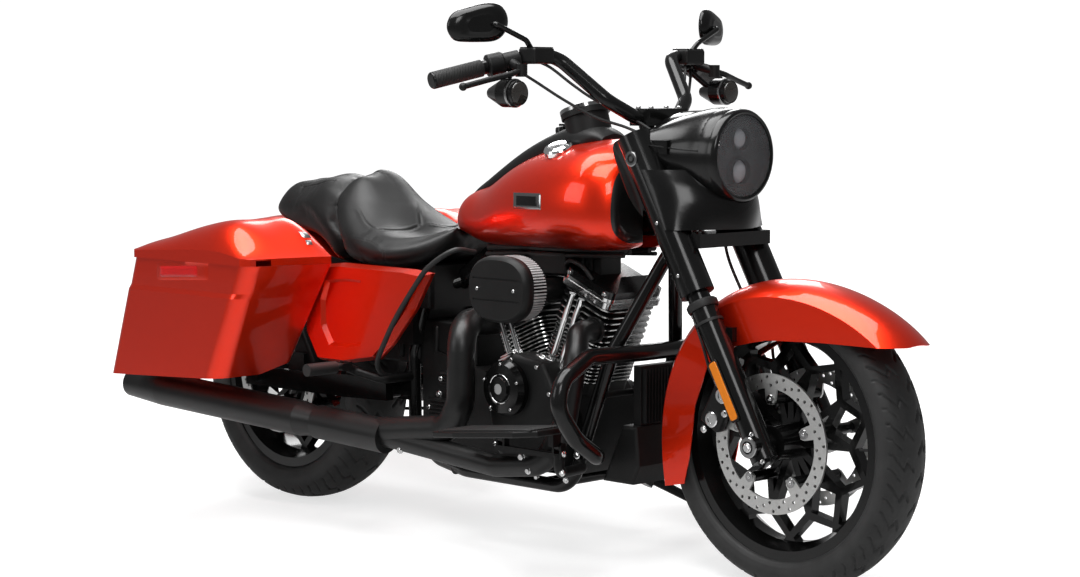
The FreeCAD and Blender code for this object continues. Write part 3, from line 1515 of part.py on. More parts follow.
def nacelle_shape():
    """Lamp bucket, its tail over the upper clamp and a shroud down each leg."""
    centre_z = float(d.headlamp_z)
    radius = float(d.headlamp_radius)

    def ring(x, half, tall, z):
        points = [V(x, half * sin(a), z + tall * cos(a)) for a in range(0, 360, 30)]
        curve = Part.BSplineCurve()
        curve.interpolate(Points=points, PeriodicFlag=True)
        return Part.Wire(curve.toShape())

    bucket = loft([ring(1462, radius, radius, centre_z), ring(1430, radius + 3, radius + 3, centre_z),
                   ring(1390, radius - 2, radius - 6, centre_z + 4),
                   ring(1330, 78, 70, 948), ring(1275, 52, 42, 964), ring(1238, 26, 18, 970)])
    spacing = float(d.fork_half_spacing)

    def apron(inset, back):
        """Rounded front between the legs, under the lamp; open to the rear when inset."""
        rings = []
        for z, nose in ((764, 1482), (830, 1476), (892, 1440)):
            x = fork_x(z)
            half = spacing + 34 - inset
            outline = [V(x - 12 - back, -half, z), V(x + 26, -half, z), V(nose - 40, -half * 0.66, z),
                       V(nose - inset, 0, z), V(nose - 40, half * 0.66, z), V(x + 26, half, z),
                       V(x - 12 - back, half, z)]
            curve = Part.BSplineCurve()
            curve.interpolate(outline)
            back_edge = Part.LineSegment(outline[-1], outline[0])
            rings.append(Part.Wire([curve.toShape(), back_edge.toShape()]))
        return loft(rings)

    shell = fused([bucket, apron(0, 0)])
    hollow = loft([ring(1470, radius - 4, radius - 4, centre_z), ring(1400, radius - 6, radius - 9,
                  centre_z + 2), ring(1330, 70, 60, 948)])
    inner = apron(4, 60)
    shell = shell.cut(hollow).cut(inner.translated(V(0, 0, -4)))
    for side in (-1, 1):
        y = side * spacing
        cover = rod((fork_x(628), y, 628), (fork_x(962), y, 962), d.fork_cover_radius + 3)
        shell = shell.fuse(cover)
    low, high = neck_point(690), neck_point(924)
    shell = shell.cut(rod(low, high, d.neck_radius + d.running_gap)).cut(clamp_shape())
    for side in (-1, 1):
        y = side * spacing
        shell = shell.cut(rod((fork_x(560), y, 560), (fork_x(1000), y, 1000), d.fork_tube_radius + 0.3))
    shell = shell.cut(rod((1440, 0, centre_z), (1476, 0, centre_z), radius - 7.6))
    shell = shell.cut(rod((1462.2, 0, centre_z), (1520, 0, centre_z), radius + 0.4))
    return biggest(shell.cut(bar_shape()))


solid("nacelle", nacelle_shape())
solid("handlebar", bar_shape())

lamp = new_body("headlamp")
revolve(lamp, "lamp_turned", [
    (0, 0), (0, d.headlamp_radius - 8), (20, d.headlamp_radius - 8), (20, d.headlamp_radius),
    (34, d.headlamp_radius), (40, d.headlamp_radius - 6), (36, d.headlamp_radius - 14), (48, 0),
])
register(lamp, V(1442.5, 0, d.headlamp_z), FreeCAD.Rotation(V(0, 1, 0), V(1, 0, 0)))


def along_bar(share):
    """A point on the straight of the right grip."""
    start, end = V(*BAR_HALF[-2]), V(*BAR_HALF[-1])
    return start + (end - start) * share


def grip_shape():
    start, end = along_bar(0.04), along_bar(1.0)
    outer = rod(tuple(start), tuple(end + (end - start) * 0.03), d.grip_radius + 1.5)
    outer = outer.cut(rod(tuple(start - (end - start) * 0.3), tuple(end), d.bar_radius + 0.05))
    return Part.makeCompound([outer, mirrored(outer)])


solid("grips", grip_shape())


LEVER_PIVOT, LEVER_END = V(1118, -318, 1106), V(1095, -470, 1071)


def hand_control():
    """Switch block, reservoir, perch clamp and ball-ended lever, right side."""
    here = V(1056.5, -296, 1126)
    along = (V(*BAR_HALF[-2]) - V(*BAR_HALF[-3])).normalize()
    switches = rod(here + along * 14, here + along * 52, 26)
    switches = switches.makeFillet(5, switches.Edges)
    clamp = rod(here - along * 22, here + along * 14.5, 21)
    reservoir = Part.makeBox(52, 64, 36, V(1070, -282, 1120))
    reservoir = reservoir.makeFillet(6, reservoir.Edges)
    arm = bent_tube([tuple(here + V(4, 0, 0)), (1092, -306, 1114), tuple(LEVER_PIVOT)], 11, 30)
    boss = rod(LEVER_PIVOT - V(0, 0, 14), LEVER_PIVOT + V(0, 0, 14), 13)
    lever = bent_tube([tuple(LEVER_PIVOT), (1122, -352, 1098), (1106, -410, 1085), tuple(LEVER_END)],
                      6.5, 60)
    ball = Part.makeSphere(9, LEVER_END)
    body = fused([switches, clamp, reservoir, arm, boss, lever, ball])
    return biggest(body.cut(bar_shape()))


control = hand_control()
solid("hand_controls", Part.makeCompound([control, mirrored(control)]))


def signal_shape():
    body = rod((1098, -349, 1057), (1128, -349, 1057), d.signal_radius)
    cone = Part.makeCone(float(d.signal_radius), 12, 44, V(1098, -349, 1057), V(-1, 0, 0))
    lens = rod((1128, -349, 1057), (1143, -349, 1057), float(d.signal_radius) - 4)
    stem = rod((1090, -349, 1057), (1061, -290, 1109), 7)
    return biggest(fused([body, cone, lens, stem]).cut(bar_shape()).cut(control))


signal = signal_shape()
solid("front_signals", Part.makeCompound([signal, mirrored(signal)]))


MIRROR_CENTRE, MIRROR_TURN = V(1052, -380, 1206), 22
MIRROR_EDGE = [(70, -22), (74, 2), (64, 20), (30, 35), (-18, 46), (-48, 42), (-65, 20), (-64, -10),
               (-46, -32), (-10, -39), (36, -39), (60, -34)]
MIRROR_RINGS = ((-17, 0.45), (-13, 0.74), (-4, 0.95), (3, 1.0), (8, 0.96))


def mirror_shape():
    """A bulged head turned towards the rider on a bent stem."""
    outboard = V(-sin(MIRROR_TURN), -cos(MIRROR_TURN), 0)
    facing = V(-cos(MIRROR_TURN), sin(MIRROR_TURN), 0)
    rings = []
    for back, grow in MIRROR_RINGS:
        points = [MIRROR_CENTRE + facing * back + outboard * (a * grow) + V(0, 0, c * grow)
                  for a, c in MIRROR_EDGE]
        curve = Part.BSplineCurve()
        curve.interpolate(Points=points, PeriodicFlag=True)
        rings.append(Part.Wire(curve.toShape()))
    head = loft(rings)
    seat = MIRROR_CENTRE + facing * -12 - outboard * 26
    stem = bent_tube([(1094, -262, 1150), (1098, -284, 1172), tuple(seat + facing * -16),
                      tuple(seat)], 6, 22)
    return fused([head, stem]).cut(hand_control())


rear_view = mirror_shape()
solid("mirrors", Part.makeCompound([rear_view, mirrored(rear_view)]))

# Front fender: crown line, skirt and trimmed lower edge
FENDER_CROWN = [(1296, 188), (1286, 330), (1314, 460), (1384, 568), (1490, 638), (1609, 664),
                (1717, 658), (1822, 628), (1905, 584), (1949, 548)]
FENDER_TRIM = [(1383, 200), (1400, 272), (1414, 380), (1450, 472), (1530, 520), (1612, 538),
               (1760, 544), (1960, 544)]


def front_fender_shape():
    crown = Part.BSplineCurve()
    crown.interpolate([V(x, 0, z) for x, z in FENDER_CROWN])
    path = Part.Wire(crown.toShape())
    start = V(FENDER_CROWN[0][0], 0, FENDER_CROWN[0][1])
    heading = V(*crown.tangent(crown.FirstParameter)[0])
    outward = V(-heading.z, 0, heading.x)
    section = fender_section(float(d.front_fender_half_width), 34, float(d.front_fender_skirt),
                             float(d.sheet_wall), 0)
    face = fender_face(section, lambda y, r: start + V(0, y, 0) + outward * r)
    sweep = Part.BRepOffsetAPI.MakePipeShell(path)
    sweep.setBiNormalMode(V(0, 1, 0))
    sweep.add(face.OuterWire)
    sweep.build()
    sweep.makeSolid()
    shell = sweep.shape()
    below = FENDER_TRIM + [(1960, 100), (1383, 100)]
    return shell.cut(prism(below, -120, 120))


solid("front_fender", front_fender_shape())


def caliper_pair():
    right = caliper(-float(d.front_disc_offset), -1, 152, 118, 176, FRONT_AXLE)
    return Part.makeCompound([right, mirrored(right)])


solid("front_calipers", caliper_pair())


# Placing, checking and writing
doc.recompute()
for piece, local in pieces:
    piece.Placement = LEAN.multiply(local)
doc.recompute()

for item in doc.Objects:
    if "Invalid" in item.State or "Error" in item.State:
        raise RuntimeError("%s failed: %s" % (item.Label, item.State))

for piece, local in pieces:
    shape = piece.Shape
    if shape.isNull() or not shape.isValid() or not shape.Solids:
        raise RuntimeError("%s has no valid solid" % piece.Label)
    shape.exportStep("parts/%s.step" % piece.Label)
print("%d nodes written" % len(pieces))
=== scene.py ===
import math

import bmesh
import bpy
import numpy as np
from mathutils import Matrix, Vector
from mathutils.bvhtree import BVHTree
from mathutils.kdtree import KDTree

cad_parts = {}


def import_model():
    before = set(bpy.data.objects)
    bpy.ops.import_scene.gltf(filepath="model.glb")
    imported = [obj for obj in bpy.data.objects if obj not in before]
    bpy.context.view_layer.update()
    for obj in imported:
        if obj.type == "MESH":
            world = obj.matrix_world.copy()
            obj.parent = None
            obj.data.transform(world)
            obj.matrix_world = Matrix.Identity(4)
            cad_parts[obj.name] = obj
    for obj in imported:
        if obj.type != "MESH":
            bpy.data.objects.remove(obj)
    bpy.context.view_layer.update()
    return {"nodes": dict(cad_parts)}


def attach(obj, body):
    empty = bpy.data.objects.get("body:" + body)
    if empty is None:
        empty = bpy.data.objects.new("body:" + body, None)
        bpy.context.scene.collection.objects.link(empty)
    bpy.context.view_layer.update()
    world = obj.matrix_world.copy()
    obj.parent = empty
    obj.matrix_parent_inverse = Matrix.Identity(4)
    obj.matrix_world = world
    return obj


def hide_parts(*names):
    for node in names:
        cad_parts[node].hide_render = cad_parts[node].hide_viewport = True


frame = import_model()
nodes = frame["nodes"]


def xyz(x, y, z):
    return Vector((x, y, z))


LEAN = math.radians(7.0)
ORIGIN_X, ORIGIN_Y, LIFT = 0.729, 0.104, 0.00122
COS, SIN = math.cos(LEAN), math.sin(LEAN)

# from the upright machine's millimetres to the leaning frame's metres
UPRIGHT = (Matrix.Translation((-ORIGIN_X, -ORIGIN_Y, LIFT))
           @ Matrix.Rotation(-LEAN, 4, "X") @ Matrix.Scale(0.001, 4))
TO_UPRIGHT = UPRIGHT.inverted()
TURN = UPRIGHT.to_3x3().normalized()

# sizes of the machine that the dressing follows, in millimetres
WHEELBASE = 1625
FRONT_RADIUS, REAR_RADIUS = 319, 327.6
FRONT_WHEEL, REAR_WHEEL = xyz(WHEELBASE, 0, FRONT_RADIUS), xyz(0, 0, REAR_RADIUS)
CRANK = xyz(955, 0, 285)
VEE_HALF = math.radians(22.5)
VEE_SIN, VEE_COS = math.sin(VEE_HALF), math.cos(VEE_HALF)
LAMP = xyz(1442.5, 0, 922)
CLEANER = xyz(1005, 0, 620)
CAM = xyz(927, -205, 383)
RAKE = math.radians(29.25)
LEG = xyz(-math.sin(RAKE), 0, math.cos(RAKE))
FORK_Y = 117
DISC_FACE_Y = 81

SIDES = {-1: "right", 1: "left"}
FORWARD, BACK, UPWARD, RIGHTWARD = (1, 0, 0), (-1, 0, 0), (0, 0, 1), (0, -1, 0)

# the photograph's camera, in the upright machine's frame
CAMERA_AT = xyz(4861.8, -4008.2, 1091.0)
CAMERA_YAW, CAMERA_PITCH = math.radians(45.158), math.radians(4.468)
FOCAL, MIDDLE_U, MIDDLE_V = 2419.5, 532.3, 266.4
IMAGE_W, IMAGE_H = 1080, 577
SENSOR = 36.0
AHEAD = xyz(-math.sin(CAMERA_YAW) * math.cos(CAMERA_PITCH),
            math.cos(CAMERA_YAW) * math.cos(CAMERA_PITCH), -math.sin(CAMERA_PITCH))
RIGHT = AHEAD.cross(Vector(UPWARD)).normalized()
UP = RIGHT.cross(AHEAD)


def placed(point):
    return UPRIGHT @ Vector(point)


def flipped(points):
    """The same points on the machine's other side."""
    return [xyz(p[0], -p[1], p[2]) for p in points]


def new_thing(name, data):
    """An object in the scene that shows the data."""
    thing = bpy.data.objects.new(name, data)
    bpy.context.scene.collection.objects.link(thing)
    return thing


# Materials
def colour_of(value, share=1.0):
    """A colour from itself or from a grey, scaled."""
    return tuple(c * share for c in (value if isinstance(value, tuple) else (value,) * 3))


class Tree:
    """A node tree with short calls."""

    def __init__(self, owner):
        owner.use_nodes = True
        self.tree = owner.node_tree
        self.tree.nodes.clear()

    def feed(self, socket, value):
        """Link an output to an input, or set the input's value."""
        if isinstance(value, bpy.types.NodeSocket):
            self.tree.links.new(value, socket)
        elif socket.type == "RGBA":
            socket.default_value = (*value, 1)
        else:
            socket.default_value = value

    def add(self, kind, inputs=None, **settings):
        """A node with its settings, and with values or links for its inputs."""
        node = self.tree.nodes.new("ShaderNode" + kind)
        for key, value in settings.items():
            setattr(node, key, value)
        for key, value in (inputs or {}).items():
            self.feed(node.inputs[key], value)
        return node

    def math(self, operation, *values):
        return self.add("Math", dict(enumerate(values)), operation=operation).outputs[0]

    def sum_of(self, *pairs):
        """The products of the pairs, added up."""
        products = [self.math("MULTIPLY", a, b) for a, b in pairs]
        total = products[0]
        for product in products[1:]:
            total = self.math("ADD", total, product)
        return total

    def looked_at(self, shine):
        """1 for what the camera sees, through glass too, and a share for what is mirrored."""
        path = self.add("LightPath").outputs
        looked = self.math("MAXIMUM", path["Is Camera Ray"], path["Is Transmission Ray"])
        return self.math("MAXIMUM", looked, self.math("MULTIPLY", path["Is Glossy Ray"], shine))


class Look(Tree):
    """A material: a principled shader and the textures that feed it."""

    def __init__(self, name):
        self.material = bpy.data.materials.new(name)
        super().__init__(self.material)
        self.shader = self.add("BsdfPrincipled")
        self.out = self.add("OutputMaterial", {"Surface": self.shader.outputs["BSDF"]})
        coords = self.add("TexCoord").outputs
        self.row, self.normal = coords["Object"], coords["Normal"]

    def upright(self):
        """Coordinates in metres along the upright machine's own axes."""
        place = (ORIGIN_X, ORIGIN_Y * COS + LIFT * SIN, ORIGIN_Y * SIN - LIFT * COS)
        return self.add("Mapping", {"Vector": self.row, "Rotation": (LEAN, 0, 0),
                                    "Location": place}).outputs["Vector"]

    def parts(self, vector):
        return self.add("SeparateXYZ", {"Vector": vector}).outputs[:]

    def noise(self, scale, detail, rough=0.5, vector=None):
        return self.add("TexNoise", {"Scale": scale, "Detail": detail, "Roughness": rough,
                                     "Vector": vector or self.row}).outputs["Fac"]

    def cells(self, scale, feature="F1"):
        return self.add("TexVoronoi", {"Scale": scale, "Vector": self.row},
                        feature=feature).outputs["Distance"]

    def ramp(self, fac, low, high, start=0.3, end=0.7):
        """From one colour or grey to another."""
        node = self.add("ValToRGB", {"Fac": fac})
        for element, colour, position in zip(node.color_ramp.elements, (low, high), (start, end)):
            element.position = position
            element.color = (*colour_of(colour), 1)
        return node.outputs["Color"]

    def span(self, fac, low, high, start=0.0, end=1.0):
        """From one number to another."""
        return self.add("MapRange", {"Value": fac, "From Min": start, "From Max": end,
                                     "To Min": low, "To Max": high}).outputs["Result"]

    def mix(self, fac, low, high):
        return self.add("Mix", {"Factor": fac, "A": low, "B": high},
                        data_type="RGBA").outputs["Result"]

    def bump(self, height, strength, distance, after=None):
        """Relief on the shader, over an earlier one where it is given."""
        inputs = {"Height": height, "Strength": strength, "Distance": distance}
        if after:
            inputs["Normal"] = after
        normal = self.add("Bump", inputs).outputs["Normal"]
        self.shade(Normal=normal)
        return normal

    def shade(self, **values):
        for key, value in values.items():
            self.feed(self.shader.inputs[key.replace("_", " ")], value)

    def along_cylinder(self):
        """Height along the nearer cylinder's axis, distance off it, and place ahead of the crank."""
        x, y, z = self.parts(self.upright())
        x = self.math("SUBTRACT", x, CRANK.x / 1000)
        z = self.math("SUBTRACT", z, CRANK.z / 1000)
        across = self.math("ABSOLUTE", x)
        height = self.sum_of((across, VEE_SIN), (z, VEE_COS))
        off = self.sum_of((across, VEE_COS), (z, -VEE_SIN))
        return height, self.math("SQRT", self.sum_of((off, off), (y, y))), x


def paint(name="orange_paint", black_nose=False):
    """Metallic orange red under a clear coat, with fine flake and slight peel."""
    n = Look(name)
    colour = n.ramp(n.cells(2600), (0.50, 0.011, 0.0010), (0.92, 0.031, 0.0030), 0.15, 0.75)
    metal = 0.86
    if black_nose:
        facing, ahead = n.parts(n.normal)[0], n.parts(n.upright())[0]
        nose = n.math("MULTIPLY", n.math("GREATER_THAN", facing, 0.78),
                      n.math("GREATER_THAN", ahead, 1.12))
        colour = n.mix(nose, colour, colour_of(0.004))
        metal = n.span(nose, metal, 0.0)
    n.shade(Base_Color=colour, Metallic=metal, Roughness=0.34, Specular_IOR_Level=0.3,
            Coat_Weight=0.5, Coat_Roughness=0.03)
    n.bump(n.noise(700, 2), 0.03, 0.0004)
    return n.material


def plain(name, clouds, low, high, smudges, rough, relief, start=0.3, **more):
    """A grey and a roughness that drift over noises (scale, detail), and a fine relief.

    The relief is its noise's scale and roughness, its strength and its depth in metres.
    """
    n = Look(name)
    n.shade(Base_Color=n.ramp(n.noise(*clouds), low, high, start),
            Roughness=n.span(n.noise(*smudges), *rough), **more)
    if relief:
        scale, grit, strength, depth = relief
        n.bump(n.noise(scale, 2, grit), strength, depth)
    return n.material


def satin(name, low, high, rough, grain, depth, shine=0.22):
    return plain(name, (12, 5), low, high, (90, 5), rough, (grain, 0.6, depth, 0.0004),
                 Specular_IOR_Level=shine)


def chrome(name, base, rough):
    return plain(name, (30, 4), base * 0.93, base, (60, 6), rough, None, Metallic=1.0)


def rubber(name, base, rough):
    return plain(name, (25, 6), base * 0.8, base * 1.25, (140, 5), rough, (1800, 0.5, 0.12, 0.0003),
                 Specular_IOR_Level=0.35)


def brushed(name, base, rough):
    """Steel with fine streaks in its colour, polish and relief."""
    n = Look(name)
    streaks = n.noise(700, 3, 0.6, n.upright())
    n.shade(Base_Color=n.ramp(streaks, colour_of(base, 0.85), base), Metallic=1.0,
            Roughness=n.span(streaks, *rough))
    n.bump(streaks, 0.12, 0.0002)
    return n.material


def vinyl():
    """Grained upholstery with fine wrinkles."""
    n = Look("seat_vinyl")
    grain, fine = n.cells(700, "DISTANCE_TO_EDGE"), n.noise(300, 4)
    n.shade(Base_Color=n.ramp(n.noise(9, 5), 0.0045, 0.008), Roughness=n.span(fine, 0.36, 0.48),
            Specular_IOR_Level=0.32)
    n.bump(fine, 0.08, 0.0006, n.bump(n.span(grain, 0, 1, 0.0, 0.12), 0.16, 0.0004))
    return n.material


def lens(name, colour, transmission, rough=0.05, ridges=120):
    """Moulded clear plastic with shallow ridges."""
    n = Look(name)
    n.shade(Base_Color=n.ramp(n.noise(15, 3), colour_of(colour, 0.9), colour), Roughness=rough,
            Transmission_Weight=transmission, IOR=1.49)
    wave = n.add("TexWave", {"Scale": ridges, "Vector": n.row})
    n.bump(wave.outputs["Fac"], 0.05, 0.0005)
    return n.material


def pane(name, colour, alpha, rough):
    """A thin clear cover that is looked straight through."""
    n = Look(name)
    n.shade(Base_Color=n.ramp(n.noise(8, 3), colour_of(colour, 0.9), colour), Roughness=rough,
            Specular_IOR_Level=0.8, Alpha=alpha)
    return n.material


def finned_metal(name, lowest_reach):
    """Black castings whose fin edges are machined bright."""
    n = Look(name)
    height, reach, ahead = n.along_cylinder()
    x, y, z = n.parts(n.normal)
    along = n.sum_of((n.math("MULTIPLY", x, VEE_SIN), n.math("SIGN", ahead)),
                     (y, SIN * VEE_COS), (z, COS * VEE_COS))
    bright = n.math("MULTIPLY", n.math("LESS_THAN", n.math("ABSOLUTE", along), 0.35),
                    n.math("GREATER_THAN", reach, lowest_reach))
    dark = n.ramp(n.noise(30, 5), 0.006, 0.012)
    n.shade(Base_Color=n.mix(bright, dark, (0.62, 0.62, 0.61)), Metallic=bright,
            Roughness=n.span(bright, 0.46, 0.24))
    n.bump(n.noise(1200, 3), 0.10, 0.0003)
    return n.material


def rocker_metal():
    """Gloss black covers over a bright gasket strip."""
    n = Look("rocker_covers")
    bright = n.math("LESS_THAN", n.along_cylinder()[0], 0.364)
    dark = n.ramp(n.noise(6, 4), 0.0035, 0.0065, 0.35)
    n.shade(Base_Color=n.mix(bright, dark, colour_of(0.76)), Metallic=bright,
            Roughness=n.span(n.noise(40, 5), 0.14, 0.24))
    n.bump(n.noise(300, 2), 0.04, 0.0004)
    return n.material


def ribbed(name, direction, pitch, base=0.010):
    """Moulded rubber with ribs across a direction, in metres."""
    n = Look(name)
    along = n.add("VectorMath", {0: n.upright(), 1: direction}, operation="DOT_PRODUCT")
    wave = n.math("SINE", n.math("MULTIPLY", along.outputs["Value"], 2 * math.pi / pitch))
    n.shade(Base_Color=n.ramp(n.noise(60, 4), base * 0.8, base * 1.2), Roughness=0.62,
            Specular_IOR_Level=0.35)
    n.bump(n.noise(1500, 2), 0.1, 0.0003, n.bump(n.span(wave, 0, 1, -0.2, 0.4), 0.9, 0.0016))
    return n.material


ORANGE = paint()
TANK_ORANGE = paint("tank_paint", True)
GLOSS = plain("gloss_black", (6, 4), 0.0030, 0.0055, (40, 5), (0.12, 0.22), (160, 0.5, 0.02, 0.0006),
              0.35, Specular_IOR_Level=0.26)
SATIN = satin("satin_black", 0.003, 0.006, (0.38, 0.52), 1500, 0.10)
WRINKLE = satin("wrinkle_black", 0.003, 0.007, (0.42, 0.56), 900, 0.35)
EXHAUST = satin("exhaust_black", 0.0025, 0.006, (0.32, 0.44), 1200, 0.06, 0.34)
CHROME = chrome("chrome", 0.80, (0.05, 0.12))
DARK_CHROME = chrome("dark_chrome", 0.30, (0.10, 0.20))
STEEL = brushed("disc_steel", (0.55, 0.55, 0.54), (0.30, 0.42))
FASTENER = brushed("fastener_steel", 0.66, (0.18, 0.30))
RUBBER = rubber("tyre_rubber", 0.018, (0.50, 0.68))
SOFT_RUBBER = rubber("moulded_rubber", 0.010, (0.45, 0.62))
GRIP = ribbed("grip_rubber", (0.29, 0.92, -0.22), 0.006)
BELT = ribbed("belt_rubber", FORWARD, 0.011)
VINYL = vinyl()
THREAD = rubber("seat_thread", 0.02, (0.6, 0.7))
FINS = finned_metal("cylinder_fins", 0.070)
HEAD_FINS = finned_metal("head_fins", 0.074)
ROCKERS = rocker_metal()
AMBER = lens("amber_lens", (0.95, 0.26, 0.01), 0.30)
RED = lens("red_lens", (0.65, 0.008, 0.008), 0.25)
SMOKE = lens("smoke_lens", (0.05, 0.045, 0.04), 0.5)
CLEAR = lens("clear_lens", (0.96, 0.97, 0.98), 0.97, 0.01, 4)
PANE = pane("lamp_pane", (0.36, 0.37, 0.39), 0.10, 0.03)
GAUZE = rubber("filter_gauze", 0.42, (0.40, 0.55))
REFLECTOR = rubber("lamp_bowl_grey", 0.36, (0.25, 0.35))
LATCH = brushed("latch_metal", 0.26, (0.32, 0.42))
MIRROR = chrome("mirror_glass", 0.86, (0.01, 0.03))
EYE = lens("projector_eye", (0.42, 0.44, 0.47), 0.30, 0.04, 30)
PRINT = rubber("dial_print", 0.75, (0.5, 0.6))

LOOKS = (
    (GLOSS, "frame cam_cover primary_cover swingarm tail_lamp engine_guard fork_clamps fork_legs "
            "nacelle handlebar front_signals mirrors front_rim rear_rim side_stand"),
    (SATIN, "air_filter air_cleaner_cover rear_caliper fender_struts tank_console battery_tray "
            "chin_cover board_brackets peg_brackets hand_controls front_calipers rear_pulley "
            "footboard_right footboard_left"),
    (ORANGE, "rear_fender side_covers saddlebag_right saddlebag_left bag_lid_right bag_lid_left "
             "front_fender"),
    (TANK_ORANGE, "fuel_tank"), (WRINKLE, "crankcase oil_cooler"),
    (EXHAUST, "exhaust_headers mufflers"), (FINS, "cylinders"), (HEAD_FINS, "cylinder_heads"),
    (ROCKERS, "rocker_boxes"), (CHROME, "pushrod_tubes fuel_cap"), (STEEL, "front_discs rear_disc"),
    (BELT, "drive_belt"), (GRIP, "grips"), (RUBBER, "front_tyre rear_tyre"), (SMOKE, "headlamp"),
    (SOFT_RUBBER, "passenger_peg_right passenger_peg_left"), (VINYL, "seat_rider seat_pillion"),
)
for look, names in LOOKS:
    for name in names.split():
        nodes[name].data.materials.clear()
        nodes[name].data.materials.append(look)


# Building pieces: points in the upright machine's millimetres
def square_to(axis):
    """Two directions that stand square to an axis."""
    axis = Vector(axis).normalized()
    other = Vector(UPWARD if abs(axis.z) < 0.9 else FORWARD)
    first = axis.cross(other).normalized()
    return first, axis.cross(first)


def around(centre, radius, degrees, y=0.0):
    """A point on a circle that is seen from the side, y further left than its centre."""
    angle = math.radians(degrees)
    return centre + xyz(radius * math.cos(angle), y, radius * math.sin(angle))


def smooth_path(points, per_run=8):
    """A curve through the points, for hoses and rims."""
    points = [Vector(p) for p in points]
    ends = [points[0] * 2 - points[1]] + points + [points[-1] * 2 - points[-2]]
    path = []
    for a, b, c, d in zip(ends, ends[1:], ends[2:], ends[3:]):
        for k in range(per_run):
            t = k / per_run
            path.append(0.5 * (2 * b + (c - a) * t + (2 * a - 5 * b + 4 * c - d) * t * t
                               + (3 * b - a - 3 * c + d) * t ** 3))
    return path + [points[-1]]


def hexagon(angle):
    """How far out a hexagon's edge lies, as a share of its corners' reach."""
    return math.cos(math.pi / 6) / math.cos((angle % (math.pi / 3)) - math.pi / 6)


class Form:
    """Gathers faces for one piece."""

    def __init__(self):
        self.rows, self.faces = [], []

    def ring_faces(self, rings, caps=True):
        """Skin a row of rings, and close its two ends."""
        base, count = len(self.rows), len(rings[0])
        for ring in rings:
            self.rows += [Vector(p) for p in ring]
        for j in range(len(rings) - 1):
            for k in range(count):
                a, b = base + j * count + k, base + j * count + (k + 1) % count
                self.faces.append((a, b, b + count, a + count))
        if caps:
            self.faces.append(tuple(range(base + count - 1, base - 1, -1)))
            last = base + (len(rings) - 1) * count
            self.faces.append(tuple(range(last, last + count)))
        return self

    def lathe(self, profile, centre, axis, steps=40, caps=True):
        """Turn (distance along the axis, radius) pairs about it. A radius below 0 is a hexagon's."""
        axis = Vector(axis).normalized()
        u, v = square_to(axis)
        rings = []
        for along, radius in profile:
            ring = []
            for k in range(steps):
                angle = 2 * math.pi * k / steps
                reach = radius if radius > 0 else -radius * hexagon(angle)
                ring.append(Vector(centre) + axis * along + u * (reach * math.cos(angle))
                            + v * (reach * math.sin(angle)))
            rings.append(ring)
        return self.ring_faces(rings, caps)

    def bolt(self, centre, axis, radius):
        """A round head with a hexagonal socket."""
        shares = ((-0.3, 1), (0.75, 1), (0.95, 0.85), (0.95, -0.56), (0.35, -0.52))
        return self.lathe([(a * radius, b * radius) for a, b in shares], centre, axis, 24)

    def hex_head(self, centre, axis, radius):
        """A hexagonal head on its washer."""
        for shares in (((-0.3, 1.3), (0.12, 1.3), (0.2, 1.15)), ((0.1, -1), (0.7, -1), (0.85, -0.85))):
            self.lathe([(a * radius, b * radius) for a, b in shares], centre, axis, 24)

    def tube(self, points, radius, sides=10, per_run=8):
        """A round line through the points, straight between them where per_run is 1."""
        path = smooth_path(points, per_run) if per_run > 1 else [Vector(p) for p in points]
        u, v = square_to(path[1] - path[0])
        rings = []
        for k, point in enumerate(path):
            ahead = (path[min(k + 1, len(path) - 1)] - path[max(k - 1, 0)]).normalized()
            u = (u - ahead * u.dot(ahead)).normalized()
            v = ahead.cross(u)
            rings.append([point + (u * math.cos(2 * math.pi * j / sides)
                                   + v * math.sin(2 * math.pi * j / sides)) * radius
                          for j in range(sides)])
        return self.ring_faces(rings)

    def tubes(self, points, *sizes):
        """The same tube on both sides, from its points on the left."""
        for side in SIDES:
            self.tube([(x, side * y, z) for x, y, z in points], *sizes)
        return self

    def block(self, low, high):
        """A box between two corners."""
        (x, y, z), (p, q, r) = low, high
        return self.ring_faces([[(x, y, h), (p, y, h), (p, q, h), (x, q, h)] for h in (z, r)])

    def slab(self, corners, thick, normal):
        """A plate from its outline, thickened along a direction."""
        lift = Vector(normal).normalized() * thick
        return self.ring_faces([corners, [Vector(c) + lift for c in corners]])

    def piece(self, name, material, body="chassis", bevel=0.0, smooth=True, angle=35):
        """Make the object, and let it ride on its body."""
        mesh = bpy.data.meshes.new(name)
        mesh.from_pydata([placed(p) for p in self.rows], [], self.faces)
        mesh.materials.append(material)
        clean = bmesh.new()
        clean.from_mesh(mesh)
        bmesh.ops.recalc_face_normals(clean, faces=clean.faces)
        clean.to_mesh(mesh)
        clean.free()
        thing = new_thing(name, mesh)
        if smooth:
            mesh.polygons.foreach_set("use_smooth", [True] * len(mesh.polygons))
            mesh.set_sharp_from_angle(angle=math.radians(angle))
        if bevel:
            trim = thing.modifiers.new("edge", "BEVEL")
            trim.width = bevel / 1000
            trim.segments = 2
            trim.limit_method = "ANGLE"
            trim.angle_limit = math.radians(angle)
        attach(thing, body)
        return thing


def turned(name, material, profile, centre, axis, steps, body="chassis", caps=True):
    """A piece from one profile."""
    return Form().lathe(profile, centre, axis, steps, caps).piece(name, material, body)


# Places read from the photograph
def tree_of(*names):
    """What a ray can hit: the CAD nodes named."""
    rows, faces = [], []
    for name in names:
        mesh = nodes[name].data
        base = len(rows)
        rows += [vertex.co.copy() for vertex in mesh.vertices]
        faces += [[base + k for k in polygon.vertices] for polygon in mesh.polygons]
    return BVHTree.FromPolygons(rows, faces)


